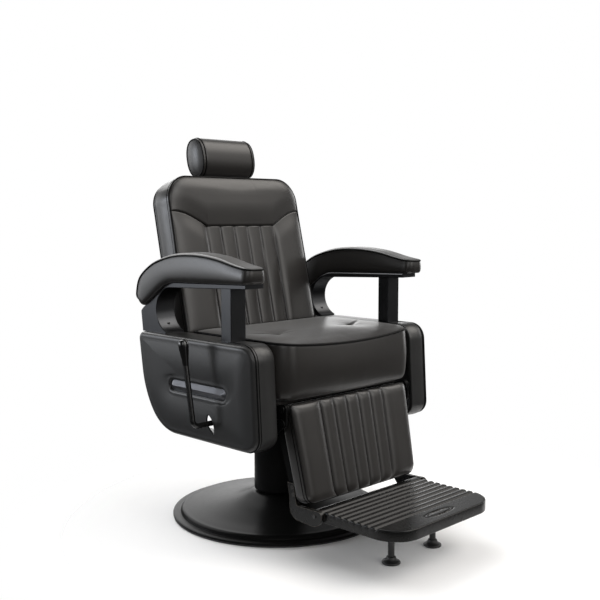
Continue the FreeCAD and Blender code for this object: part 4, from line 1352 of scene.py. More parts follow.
@dataclass
class LegRest:
    """Tilted calf pad with five channels between two wider panels, counted down from its top edge."""

    shop: Upholstery
    tilt: float = 11.7
    at: Pair = (-285.0, 392.0)
    length: float = 255.0
    half_top: float = 229.5
    half_low: float = 217.0
    seam_share: float = 0.5415
    channels: int = 5
    corner: float = 26.0
    top_corner: float = 10.0
    thick: float = 44.5
    edge_level: float = -4.0
    channel_crown: float = 8.0
    channel_power: float = 0.6
    channel_lift: float = 3.0
    panel_crown: float = 13.0
    panel_lips: Pair = (0.4, 0.3)
    end_over: float = 24.0
    panel_steps: int = 20
    channel_steps: int = 12
    rows: int = 60
    wall_rows: int = 10
    bulge: float = 1.2
    cord: float = 1.6
    boxing_cord: float = 1.0
    boxing_at: Pair = (1.2, -9.0)
    # thin dark cords in the face's seams: painted shade in their creases
    seam_cord: float = 0.8
    seam_shade_level: float = -0.8
    seam_shade_from: float = 10.0
    seam_shade_points: int = 60
    filling: Filling = Filling(0.75, 4.0, 0.002, 2.0)

    def place(self, across: Array, along: Array, level: Array) -> Array:
        """Across, up from the top edge (so below it is negative) and forwards, to space."""
        return leaned(self.tilt, self.at, across, along, level)

    def half_at(self, h: Array) -> Array:
        """Half width at a height, which is negative below the top edge: tapering down, with round corners."""
        half = self.half_top + (self.half_low - self.half_top) * (-h / self.length)
        return rounded(rounded(half, self.corner, self.corner - self.length - h), self.top_corner,
                       h + self.top_corner)

    def seams(self) -> List[Array]:
        """Lines of the sewn seams in space, one up each side of every channel.

        Returns:
            Points of each line.
        """
        h = np.linspace(-self.seam_shade_from, self.seam_shade_from - self.length, self.seam_shade_points)
        level = np.full(self.seam_shade_points, self.seam_shade_level)
        shares = np.linspace(-self.seam_share, self.seam_share, self.channels + 1)
        return [self.place(u * self.half_at(h), h, level) for u in shares]

    def pad(self) -> Pad:
        """The calf pad as a boxed pad: each cell stands up from its seams, panels as lips, channels as humps.

        Returns:
            The pad, held along its seams.
        """
        u, on = channel_columns(self.seam_share, self.channels, self.panel_steps, self.channel_steps)
        h = -self.length * cosine_steps(0, 1, self.rows)[:, None]
        x = u[None, :] * self.half_at(h)
        h = np.broadcast_to(h, x.shape)
        t, side = cell_share(u, self.seam_share, np.ones_like(u), self.channels)
        near, far = self.panel_lips
        hump = np.where(side, lip(t / near) * lip((1 - t) / far), (4 * t * (1 - t)) ** self.channel_power)
        crown = np.where(side, self.panel_crown, self.channel_crown)
        swell = crown * hump + np.where(side, 0.0, self.channel_lift)
        fade = lip(-h / self.end_over) * lip((h + self.length) / self.end_over)
        held = np.zeros(h.shape)
        held[:, on] = 1.0
        return Pad("calf_pad_cover", x, h, self.edge_level + swell[None, :] * fade, -self.thick, self.bulge,
                   self.place, self.wall_rows, held)

    def build(self) -> None:
        """Sew the pad, its corded edge, its boxing seam and the seams of its face, with dark cords of painted
        shade in the face's seams.
        """
        pad, up = self.pad(), facing(self.tilt)
        self.shop.padded((pad.build(), pad.fixed, self.filling), Finishes.VINYL, "legrest", "calf_pad")
        self.shop.cord(pad, "calf_pad_piping", self.cord, "legrest", up)
        self.shop.cord(pad, "calf_boxing_seam", self.boxing_cord, "legrest", up, self.boxing_at)
        self.shop.stitch(self.seams(), "calf_seam", self.seam_cord, "legrest", up)


# Arms


@dataclass
class Arm:
    """Boxed arm pad on its strip, over the post and the side panel.

    Its underside and its seam are lines in (y, z). The wall between them leans in by a share of its width.
    """

    shop: Upholstery
    side: Side
    middle: float = 316.0
    half: float = 33.0
    crown: float = 6.0
    crown_lip: float = 0.35
    tall: float = 60.0
    end: float = 22.0
    end_over: float = 26.0
    rear_reach: float = 0.4
    wide_low: float = 1.05
    lean: float = 0.1
    low_line: Line = (
        (-255.0, 701.5), (-150.0, 698.7), (-50.0, 696.0), (30.0, 693.6), (64.0, 690.0), (96.0, 677.0),
        (128.0, 656.0), (160.0, 635.0), (190.0, 619.5))
    high_line: Line = (
        (-257.0, 743.0), (-205.0, 751.0), (-130.0, 765.5), (-50.0, 772.0), (30.0, 769.0), (96.0, 756.0),
        (152.0, 735.0), (200.0, 698.0), (217.0, 638.0))
    samples: int = 400
    end_rows: int = 8
    middle_rows: int = 96
    columns: int = 19
    wall_rows: int = 14
    bulge: float = 2.6
    cord: float = 2.4
    cord_at: Pair = (0.3, 0.0)
    filling: Filling = Filling(0.8, 3.0, 0.0, 0.6)
    low_curve: Array = field(init=False)
    high_curve: Array = field(init=False)
    length: float = field(init=False)

    def __post_init__(self) -> None:
        """Work out the two lines of the pad and the length of the upper one."""
        self.low_curve = smooth_line(self.low_line, self.samples)
        self.high_curve = smooth_line(self.high_line, self.samples)
        self.length = float(np.linalg.norm(np.diff(self.high_curve, axis=0), axis=1).sum())

    def half_at(self, along: Array) -> Array:
        """Half width at a length along the pad: rounded at the two ends."""
        half = rounded(self.half, self.end, self.end - along)
        return rounded(half, self.end, along - self.length + self.end)

    def at(self, curve: Array, s: Array) -> Array:
        """Points (y, z) of one of the lines at shares s of its length."""
        t = np.clip(s, 0, 1) * (self.samples - 1)
        return np.stack([np.interp(t, np.arange(self.samples), curve[:, k]) for k in (0, 1)], axis=-1)

    def place(self, across: Array, along: Array, level: Array) -> Array:
        """Pad coordinates to space: between the two lines by the level, past their ends straight on in Y.

        Args:
            across: Places across the pad.
            along: Places along the pad.
            level: 0 at the underside, 1 at the seam line.

        Returns:
            Points in space.
        """
        across, along, level = np.broadcast_arrays(across, along, level)
        s = along / self.length
        low, high = self.at(self.low_curve, s), self.at(self.high_curve, s)
        up = high - low
        tall = np.linalg.norm(up, axis=-1, keepdims=True)
        yz = low + up * ((tall - self.crown) / tall) * level[..., None]
        past = np.minimum(along, 0.0) + self.rear_reach * np.maximum(along - self.length, 0.0)
        yz = yz + past[..., None] * np.array([1.0, 0.0])
        across = across * (self.wide_low - self.lean * np.minimum(level, 1.0))
        return np.concatenate([(self.side.value * (self.middle + across))[..., None], yz], axis=-1)

    def pad(self) -> Pad:
        """The pad: its sewn face is the top, its wall goes down to the strip.

        Returns:
            The pad.
        """
        ends = self.end * (1 - np.cos(np.linspace(0, QUARTER, self.end_rows)))
        middle = np.linspace(self.end, self.length - self.end, self.middle_rows)[1:-1]
        along = np.concatenate([ends, middle, self.length - ends[::-1]])[:, None]
        x = np.linspace(-1, 1, self.columns)[None, :] * self.half_at(along)
        along = np.broadcast_to(along, x.shape)
        u = np.abs(x) / self.half_at(along)
        fade = lip(along / self.end_over) * lip((self.length - along) / self.end_over)
        level = 1.0 + (self.crown / self.tall) * lip((1 - u) / self.crown_lip) * fade
        return Pad("arm_pad_cover_" + self.side.tag, x, along, level, 0.0, self.bulge, self.place,
                   self.wall_rows)

    def build(self) -> None:
        """Sew the pad and its corded edge."""
        pad, tag = self.pad(), self.side.tag
        cover = (pad.build(), pad.fixed, self.filling)
        self.shop.padded(cover, Finishes.VINYL, "seat_unit", "arm_pad_" + tag)
        self.shop.cord(pad, "arm_piping_" + tag, self.cord, "seat_unit", UP, self.cord_at)


# Head rest


@dataclass
class HeadRest:
    """Oval roll with domed ends behind a corded seam. Shares are of the oval's depth and height."""

    back: Back
    centre: Pair = (45.0, 441.5)
    deep: float = 41.0
    tall: float = 60.0
    power: float = 2.25
    half: float = 107.0
    rim: float = 100.0
    rim_share: float = 0.93
    swell: float = 0.07
    swell_over: float = 20.0
    nip: float = 0.02
    nip_at: float = 9.0
    nip_wide: float = 2.5
    dome_from: float = 0.06
    dome_power: float = 2.4
    dome_rows: int = 16
    roll_rows: int = 56
    sides: int = 128
    cord: float = 1.8
    piping_share: float = 0.985
    seam_out: float = 0.5
    filling: Filling = Filling(0.85, 3.0, 0.002, 1.5)

    def ring(self, x: Array, share: Array, turn: Array) -> Array:
        """Oval at x: a circle squared up by a power of its sine and cosine, drawn in to a share.

        Args:
            x: Places along the roll.
            share: Size of the oval there.
            turn: Angles round it.

        Returns:
            Points in space.
        """
        c, s = np.cos(turn), np.sin(turn)
        power = 2 / self.power
        depth = self.centre[0] + share * self.deep * np.sign(c) * np.abs(c) ** power
        height = self.centre[1] + share * self.tall * np.sign(s) * np.abs(s) ** power
        return self.back.place(x, height, -depth)

    def build(self) -> None:
        """Roll, seam cords at its two rims, and the second stitched line inside each."""
        turn = np.linspace(0, CIRCLE, self.sides, endpoint=False)
        roll = cosine_steps(-self.rim, self.rim, self.roll_rows)
        swell = self.rim_share + self.swell * lip((self.rim - np.abs(roll)) / self.swell_over)
        swell = swell - self.nip * bell((np.abs(roll) - self.rim + self.nip_at) / self.nip_wide)
        dome = np.linspace(self.dome_from, 1, self.dome_rows)
        cap = self.rim + (self.half - self.rim) * (1 - dome ** self.dome_power)
        x = np.concatenate([-cap, roll[1:-1], cap[::-1]])
        share = np.concatenate([dome * self.rim_share, swell[1:-1], dome[::-1] * self.rim_share])
        points, faces = capped(self.ring(x[:, None], share[:, None], turn[None, :]))
        cover = put_down("headrest_cover", points, faces, crease=75.0)
        held = self.dome_rows * self.sides
        fixed = np.zeros(len(points))
        fixed[:held] = 1.0
        fixed[len(x) * self.sides - held:] = 1.0
        shop = self.back.shop
        shop.padded((cover, fixed, self.filling), Finishes.VINYL, "headrest", "headrest_pad")
        cords = (("piping", self.rim - self.nip_at, self.piping_share),
                 ("seam", self.rim + self.seam_out, self.rim_share))
        for side in Side:
            for name, at, share in cords:
                loop = self.ring(side.value * at, share, turn)
                cord = piping("headrest_%s_%s" % (name, side.tag), loop, self.cord, (-1.0, 0.0, 0.0))
                settle(cord, Finishes.CORD, "headrest")


# Side panels


@dataclass
class SidePanel:
    """Upholstered side: a soft face with a recess for the trim, a welted front band and a hollow inside.

    Corners are (y, z, radius). The recess line is (out of the recess's border, height over the face). A welt
    is (name, place in x, height over the border, radius). The eye's points are counted from its middle.
    """

    side: Side
    inner: float = 272.0
    outer: float = 352.0
    corners: Tuple[Triple, ...] = (
        (-269.0, 550.0, 44.0), (-285.0, 283.0, 40.0), (106.0, 283.0, 130.0), (178.0, 390.0, 250.0),
        (202.0, 550.0, 20.0))
    count: int = 264
    trim_at: Pair = (-59.0, 417.5)
    trim_long: float = 232.0
    trim_tall: float = 31.0
    recess_line: Line = (
        (-3.0, -7.0), (-1.0, -6.4), (-0.2, -3.5), (0.8, -0.9), (3.0, 0.5), (7.0, 0.6))
    face_from: float = 12.0
    face_to: float = 21.0
    face_rings: int = 30
    face_rise: float = 0.3
    face_crown: float = 1.6
    shoulder: Tuple[float, ...] = (17.0, 14.0, 11.5)
    shoulder_rise: float = 0.2
    round: float = 11.0
    round_from: float = 0.12
    round_rings: int = 14
    band: float = 1.6
    band_front: float = 2.4
    band_span: Pair = (190.0, 70.0)
    band_power: float = 0.7
    band_rings: int = 20
    inner_round: float = 4.0
    inner_turns: Triple = (0.5, 1.0, QUARTER)
    wall: float = 14.0
    wall_edge: Pair = (1.0, 0.5)
    skin: float = 13.0
    hollow_rings: int = 8
    pillow: float = 62.0
    fall: float = 9.0
    fall_span: Pair = (20.0, 45.0)
    # the welt cords are drawn near-black: painted shade along the front band's seams
    welts: Tuple[Tuple[str, float, float, float], ...] = (
        ("welt", 336.0, 0.6, 1.7), ("stitch", 329.0, 1.6, 0.9), ("seam", 284.0, 0.9, 1.1))
    welt_from: Pair = (-170.0, 500.0)
    welt_to: float = -165.0
    eye_at: Pair = PIVOT
    eye_top: Pair = (4.0, 24.0)
    eye_low: Pair = (-18.0, -27.0)
    eye_front: Pair = (-26.0, 8.0)
    eye_rear: Pair = (24.0, -3.0)
    eye_points: int = 18
    eye_flare: float = 2.4
    eye_edge: float = 3.0
    eye_reach: Pair = (250.0, 370.0)
    crease: float = 50.0
    fill: float = 0.9

    def outline(self) -> Array:
        """Border of the panel in (y, z)."""
        return rounded_outline(self.corners, self.count)

    def stadium(self) -> Array:
        """Border of the recess in (y, z): two half circles joined by straight lines.

        Returns:
            Points that start, as the panel's border does, at the upper front.
        """
        (y, z), r, h = self.trim_at, self.trim_tall / 2, (self.trim_long - self.trim_tall) / 2
        a = np.linspace(QUARTER, 3 * QUARTER, ARC_POINTS)
        front = np.stack([y - h + r * np.cos(a), z + r * np.sin(a)], axis=-1)
        rear = np.stack([y + h - r * np.cos(a), z - r * np.sin(a)], axis=-1)
        loop = resample(np.vstack([front, rear]), 4 * self.count, closed=True)
        away = np.where(loop[:, 1] < z, np.inf, np.abs(loop[:, 0] - (y - h - 0.5 * r)))
        return resample(np.roll(loop, -int(np.argmin(away)), axis=0), self.count, closed=True)

    def rings(self) -> Array:
        """Rings from the recess floor over the face, round the edge and back along the inside.

        Each ring is a loop in (y, z) at its own x. Face rings go evenly from the recess to the border, edge
        rings follow a quarter circle, band rings stand out by a half sine and the last ones line the hollow.

        Returns:
            Points by ring and place on the border.
        """
        edge, hole = self.outline(), self.stadium()
        out, hole_out = outward(edge), outward(hole)
        top, low, foot = self.outer, self.outer - self.round, self.inner + self.inner_round
        loops = [(hole + grow * hole_out, top + rise) for grow, rise in self.recess_line]
        lipped, border = hole + self.face_from * hole_out, edge - self.face_to * out
        for t in np.linspace(0, 1, self.face_rings):
            rise = self.face_rise + self.face_crown * math.sin(math.pi * t)
            loops.append((lipped + (border - lipped) * t, top + rise))
        loops += [(edge - inset * out, top + self.shoulder_rise) for inset in self.shoulder]
        for a in np.linspace(self.round_from, QUARTER, self.round_rings):
            loops.append((edge - self.round * (1 - math.sin(a)) * out, top - self.round * (1 - math.cos(a))))
        swell = self.band + self.band_front * slope(-edge[:, 0], self.band_span)
        for t in np.linspace(0, 1, self.band_rings)[1:]:
            grow = swell[:, None] * math.sin(math.pi * t) ** self.band_power
            loops.append((edge + grow * out, low + (foot - low) * t))
        for a in self.inner_turns:
            inset, rise = self.inner_round * (1 - math.cos(a)), self.inner_round * (1 - math.sin(a))
            loops.append((edge - inset * out, self.inner + rise))
        ledge, step = self.wall_edge
        loops.append((edge - (self.wall - ledge) * out, self.inner))
        for x in np.linspace(self.inner + step, top - self.skin, self.hollow_rings):
            loops.append((edge - self.wall * out, x))
        return self.fallen(np.stack([np.column_stack([np.full(self.count, x), loop]) for loop, x in loops]))

    def fallen(self, rings: Array) -> Array:
        """Let the face fall towards the front: by the square of what is left of the pillow's width.

        Args:
            rings: Points of the panel before the fall, changed in place.

        Returns:
            The points after it.
        """
        (y0, z0, _), (y1, z1, _) = self.corners[:2]
        front = y0 + (y1 - y0) * (z0 - rings[:, :, 2]) / (z0 - z1)
        left = np.clip(1 - (rings[:, :, 1] - front) / self.pillow, 0, 1)
        outer = slope(rings[:, :, 0] - self.inner, self.fall_span)
        rings[:, :, 0] -= self.fall * left ** 2 * outer
        return rings

    def front_part(self, loop: Array) -> Array:
        """The stretch of a border loop that runs down the panel's front, where the welts are.

        Args:
            loop: The whole border in (y, z).

        Returns:
            Points from the top edge, round the front, to the lower edge.
        """
        y, z = self.welt_from
        away = np.where(loop[:, 1] < z, np.inf, np.abs(loop[:, 0] - y))
        loop = np.roll(loop, -int(np.argmin(away)), axis=0)
        return loop[:int(np.argmin(loop[:, 0] < self.welt_to))]

    def build(self) -> None:
        """Make the panel, cut the lever's eye through the right one and lay the welts."""
        rings = self.rings()
        rings[:, :, 0] *= self.side.value
        points, faces = capped(rings)
        panel = put_down("side_panel_cover_" + self.side.tag, points, faces, self.crease)
        if self.side is Side.RIGHT:
            self.cut_eye(panel)
        settle(panel, Finishes.SHELL, "seat_unit", "side_panel_" + self.side.tag)
        edge = resample(self.outline(), 4 * self.count, closed=True)
        out = outward(edge)
        for name, x, grow, radius in self.welts:
            loop = self.front_part(edge + grow * out)
            path = np.column_stack([np.full(len(loop), self.side.value * x), loop])
            cord = piping("panel_%s_%s" % (name, self.side.tag), path, radius, (1.0, 0.0, 0.0), closed=False)
            settle(cord, Finishes.CORD, "seat_unit")

    def eye_cutter(self) -> Piece:
        """Solid of the eye-shaped opening: two lids, each a quadratic curve, flared towards the inside.

        Returns:
            The cutter, which reaches past both faces of the panel.
        """
        t = np.linspace(0, 1, self.eye_points)[:, None]
        top, low, front, rear = [np.add(self.eye_at, p) for p in
                                 (self.eye_top, self.eye_low, self.eye_front, self.eye_rear)]
        lids = [(1 - t) ** 2 * a + 2 * t * (1 - t) * m + t * t * b
                for a, m, b in ((top, front, low), (low, rear, top))]
        loop = np.vstack([lid[:-1] for lid in lids])
        middle = loop.mean(axis=0)
        near, far = self.eye_reach
        flare = ((near, self.eye_flare), (self.outer - self.skin, self.eye_flare),
                 (self.outer - self.eye_edge, 1.0), (far, 1.0))
        rings = [np.column_stack([np.full(len(loop), self.side.value * x), middle + (loop - middle) * size])
                 for x, size in flare]
        return put_down("eye_cutter", *capped(np.stack(rings)))

    def cut_eye(self, panel: Piece) -> None:
        """Cut the opening that the lever's shaft comes through.

        Args:
            panel: The right panel, whose mesh is replaced by the cut one.
        """
        cutter = self.eye_cutter()
        cut = panel.modifiers.new("eye", "BOOLEAN")
        cut.object, cut.operation, cut.solver = cutter, "DIFFERENCE", "EXACT"
        graph = bpy.context.evaluated_depsgraph_get()
        shaped = bpy.data.meshes.new_from_object(panel.evaluated_get(graph))
        panel.modifiers.clear()
        panel.data = shaped
        panel.data.shade_smooth()
        panel.data.set_sharp_from_angle(angle=math.radians(self.crease))
        bpy.data.objects.remove(cutter)


# Lever and feet


@dataclass
class LeverGrip:
    """Drop-shaped knob at the top of the recline lever. Its lines are (radius, height over the pivot)."""

    pivot: Pair = PIVOT
    out_x: float = -404.0
    lean: float = 10.2
    line: Line = (
        (6.6, 151.0), (7.2, 157.0), (8.5, 168.0), (10.2, 181.0), (12.0, 194.0), (13.3, 206.0), (13.0, 214.0),
        (10.6, 220.0), (5.9, 223.0), (0.4, 223.6))
    line_points: int = 44
    inside: Line = ((0.4, 190.0), (6.0, 158.0))
    sides: int = 48

    def build(self) -> None:
        """Turn the drop about the lever's leaning shaft."""
        profile = np.vstack([smooth_line(self.line, self.line_points), self.inside])
        points, quads = turned(profile, self.sides)
        c, s = math.cos(math.radians(self.lean)), math.sin(math.radians(self.lean))
        x, y, z = points.T
        y, z = y * c + z * s + self.pivot[0], z * c - y * s + self.pivot[1]
        placed = np.stack([x + self.out_x, y, z], axis=-1)
        settle(put_down("lever_knob", placed, [quads], crease=60.0), Finishes.GRIP, "lever", "lever_grip")


@dataclass
class Feet:
    """Two flared rubber feet under the foot plate. Their lines are (radius, height over the floor)."""

    at: Pair = FOOT
    line: Line = (
        (8.6, 18.0), (11.6, 17.6), (12.4, 15.4), (14.6, 11.4), (18.6, 8.2), (22.6, 5.8), (24.0, 3.6),
        (23.4, 0.9), (22.0, 0.0))
    line_points: int = 36
    inside: Line = ((0.5, 0.0), (0.5, 8.0), (8.6, 8.0))
    sides: int = 40

    def build(self) -> None:
        """Turn both feet and make them one piece."""
        points, quads = turned(np.vstack([smooth_line(self.line, self.line_points), self.inside]), self.sides)
        both = [points + np.array([side.value * self.at[0], self.at[1], 0.0]) for side in Side]
        piece = put_down("flared_feet", np.vstack(both), [quads, quads + len(points)], crease=50.0)
        settle(piece, Finishes.RUBBER, "footplate", "rubber_feet")


# Foot plate


@dataclass
class FootPlate:
    """Hollow cast plate: grooves across it, a bare oval in front, one small round along its whole upper edge.

    Ovals are (half length, half width). The hollow is (half width, front, rear, ceiling).
    """

    half: float = 205.5
    front: float = -617.0
    rear: float = -342.0
    low: float = 103.0
    high: float = 131.0
    corner: float = 76.0
    corner_rows: int = 50
    edge: float = 3.5
    edge_rings: int = 5
    foot: float = 2.0
    foot_rings: int = 4
    rear_round: float = 12.0
    rear_fall: float = 8.0
    rear_from: float = 14.0
    rear_rows: int = 7
    first: float = -374.5
    pitch: float = 21.4
    grooves: int = 9
    groove: float = 6.2
    groove_rows: int = 13
    depth: float = 5.0
    oval_y: float = -581.0
    ovals: Line = ((58.0, 13.0), (45.0, 8.6))
    oval_depth: float = 1.3
    oval_wide: float = 1.5
    middle: float = 0.36
    middle_columns: int = 75
    side_columns: int = 14
    hollow: Four = (195.5, -605.0, -376.0, 119.0)
    boss: float = 18.0
    boss_edge: float = 1.0
    boss_root: float = 2.0
    stem: float = 8.7
    boss_sides: int = 40
    feet: Pair = FOOT

    def rows(self) -> Array:
        """Places along Y: even steps round the front corners, a set on each groove, a few at the rear.

        Returns:
            Rising places, each once.
        """
        start, radius = self.front + self.edge, self.corner - self.edge
        arc = start + radius * (1 - np.cos(np.linspace(0, QUARTER, self.corner_rows)))
        middle = self.first - self.pitch * np.arange(self.grooves)
        across = middle[:, None] + self.groove * np.linspace(-1, 1, self.groove_rows)[None, :]
        end = np.linspace(self.rear - self.rear_from, self.rear - self.edge, self.rear_rows)
        return np.unique(np.round(np.concatenate([arc, across.ravel(), end]), 1))

    def columns(self) -> Array:
        """Places across from -1 to 1, finer in the middle, where the ovals are."""
        middle = np.linspace(-self.middle, self.middle, self.middle_columns)[1:-1]
        return np.concatenate([np.linspace(-1, -self.middle, self.side_columns), middle,
                               np.linspace(self.middle, 1, self.side_columns)])

    def half_at(self, y: Array) -> Array:
        """Half width of the top at a place along Y, rounded at the two front corners."""
        return rounded(self.half - self.edge, self.corner - self.edge, self.front + self.corner - y)

    def top(self, x: Array, y: Array) -> Array:
        """Height of the top.

        A groove falls by its depth times half of one plus the cosine across it. An oval is a bell-shaped line
        at the distance where its radius is one. The rear edge falls along a round.

        Args:
            x: Places across.
            y: Places along.

        Returns:
            Height at each place.
        """
        near = np.abs((y - self.first + self.pitch / 2) % self.pitch - self.pitch / 2)
        inside = (y > self.first - self.pitch * (self.grooves - 0.5)) & (y < self.first + self.pitch / 2)
        fall = inside * self.depth * (0.5 + 0.5 * np.cos(np.pi * np.clip(near / self.groove, 0, 1)))
        for a, b in self.ovals:
            radius = np.hypot(x / a, (y - self.oval_y) / b)
            slope = np.hypot(x / a ** 2, (y - self.oval_y) / b ** 2) / np.maximum(radius, SAME)
            fall = fall + self.oval_depth * bell((radius - 1) / np.maximum(slope, SAME) / self.oval_wide)
        back = np.clip((y - self.rear + self.rear_round) / self.rear_round, 0, 1)
        return self.high - fall - self.rear_fall * (1 - np.sqrt(1 - back ** 2))

    def wall(self, plan: Array, edge: Array) -> List[Array]:
        """Rings from the top's border down: a quarter round, the wall, the foot's round, and up the hollow.

        Args:
            plan: Border of the top in (x, y).
            edge: Height of the top at each point of it.

        Returns:
            Points of each ring.
        """
        normal, level = outward(plan), np.ones(len(plan))
        rings = []
        for a in np.linspace(0, QUARTER, self.edge_rings + 1)[1:]:
            rings.append((plan + self.edge * math.sin(a) * normal, edge - self.edge * (1 - math.cos(a))))
        for a in np.linspace(0, QUARTER, self.foot_rings):
            out = self.edge - self.foot * (1 - math.cos(a))
            rings.append((plan + out * normal, level * (self.low + self.foot * (1 - math.sin(a)))))
        wide, first, last, ceiling = self.hollow
        share = (plan[:, 1] - self.front) / (self.rear - self.front)
        inner = np.stack([plan[:, 0] * wide / self.half, first + (last - first) * share], axis=-1)
        rings += [(inner, level * z) for z in (self.low, ceiling)]
        return [np.column_stack(ring) for ring in rings]

    def build(self) -> None:
        """Top grid, wall, hollow and the two bosses for the feet, in one piece."""
        y = self.rows()[:, None]
        x = self.columns()[None, :] * self.half_at(y)
        y = np.broadcast_to(y, x.shape)
        face = np.stack([x, y, self.top(x, y)], axis=-1).reshape(-1, 3)
        loop = edge_loop(*x.shape)
        wall = self.wall(face[loop, :2], face[loop, 2])
        _, first, last, ceiling = self.hollow
        points = np.vstack([face, *wall, [(0.0, (first + last) / 2, ceiling)]])
        rings = np.vstack([loop, len(face) + np.arange(len(wall) * len(loop)).reshape(len(wall), -1)])
        faces = [grid_quads(*x.shape), wall_quads(rings), fan(rings[-1], len(points) - 1)]
        root = ceiling + self.boss_root
        line = np.array([(self.boss, root), (self.boss, self.low + self.boss_edge),
                         (self.boss - self.boss_edge, self.low), (self.stem, self.low), (self.stem, root)])
        post, quads = turned(line, self.boss_sides)
        for side in Side:
            faces.append(quads + len(points))
            points = np.vstack([points, post + np.array([side.value * self.feet[0], self.feet[1], 0.0])])
        casting = put_down("foot_casting", points, faces, crease=35.0)
        settle(casting, Finishes.CASTING, "footplate", "foot_plate")


# Rigid pieces


@dataclass
class Metalwork:
    """The frame's own rigid pieces, finished as they are.

    Edges are broken by a width that goes with the start of a node's name, and by a fine one elsewhere.
    """

    slots: Dict[str, str]
    fine_edge: float = 0.5
    crisp: float = 32.0
    join: float = 0.01
    edges: Tuple[Tuple[str, float], ...] = (
        ("arm_post", 1.0), ("arm_frame", 1.8), ("hinge_ear", 1.4), ("legrest_frame", 1.0))

    def shading_tree(self) -> Tree:
        """Geometry tree that joins loose triangles and shades them smooth, with edges over an angle sharp.

        Returns:
            The tree.
        """
        tree = bpy.data.node_groups.new("joined_and_smooth", "GeometryNodeTree")
        for way in ("INPUT", "OUTPUT"):
            tree.interface.new_socket("Geometry", in_out=way, socket_type="NodeSocketGeometry")
        start = add(tree, "NodeGroupInput").outputs[0]
        loose = {"Geometry": start, "Distance": self.join * MM}
        joined = add(tree, "GeometryNodeMergeByDistance", loose).outputs[0]
        smooth = add(tree, "GeometryNodeSetShadeSmooth", {"Geometry": joined, "Shade Smooth": True},
                     domain="FACE").outputs[0]
        angle = add(tree, "GeometryNodeInputMeshEdgeAngle").outputs["Unsigned Angle"]
        flat = add(tree, "FunctionNodeCompare", {"A": angle, "B": math.radians(self.crisp)},
                   operation="LESS_EQUAL").outputs[0]
        crisp = add(tree, "GeometryNodeSetShadeSmooth", {"Geometry": smooth, "Shade Smooth": flat},
                    domain="EDGE").outputs[0]
        add(tree, "NodeGroupOutput", {0: crisp})
        return tree

    def build(self) -> None:
        """Finish every node that is still shown, and break its edges."""
        shading = self.shading_tree()
        # the piping shares the slot of the covers, which come first
        finishes = {finish.value.slot: finish for finish in reversed(Finishes)}
        for name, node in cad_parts.items():
            if node.hide_render:
                continue
            dress(node, finishes[self.slots[name]])
            joined = node.modifiers.new("joined", "NODES")
            joined.node_group = shading
            bevel = node.modifiers.new("broken_edges", "BEVEL")
            width = next((size for start, size in self.edges if name.startswith(start)), self.fine_edge)
            bevel.width, bevel.segments, bevel.limit_method = width * MM, 2, "ANGLE"
            bevel.angle_limit, bevel.harden_normals = math.radians(self.crisp), True
            level = node.modifiers.new("level_faces", "WEIGHTED_NORMAL")
            level.keep_sharp = True
            log.info("%s finished as %s", name, self.slots[name])


# Stage


@dataclass(frozen=True)
class SoftBox:
    """A bright patch of the surroundings: where it stands, the angles of its core and rim, its light."""

    azimuth: float
    height: float
    core: float
    rim: float
    power: float
    tint: str = "ffffff"

    def toward(self) -> Vector:
        """Direction of its middle: azimuth counted from -Y towards +X."""
        a, e = math.radians(self.azimuth), math.radians(self.height)
        return Vector((math.sin(a) * math.cos(e), -math.cos(a) * math.cos(e), math.sin(e)))

    def glow(self, tree: Tree, look: Socket) -> Socket:
        """Its light in a direction of look: full in the core, falling smoothly to its rim.

        Args:
            tree: Node tree of the world.
            look: The direction.

        Returns:
            The light's colour.
        """
        near = add(tree, "ShaderNodeVectorMath", {0: look, 1: self.toward()}, operation="DOT_PRODUCT")
        fade = {"Value": near.outputs["Value"], "From Min": math.cos(math.radians(self.rim)),
                "From Max": math.cos(math.radians(self.core)), "To Max": self.power}
        share = add(tree, "ShaderNodeMapRange", fade, interpolation_type="SMOOTHSTEP").outputs["Result"]
        tinted = {0: linear(self.tint)[:3], "Scale": share}
        return add(tree, "ShaderNodeVectorMath", tinted, operation="SCALE").outputs["Vector"]


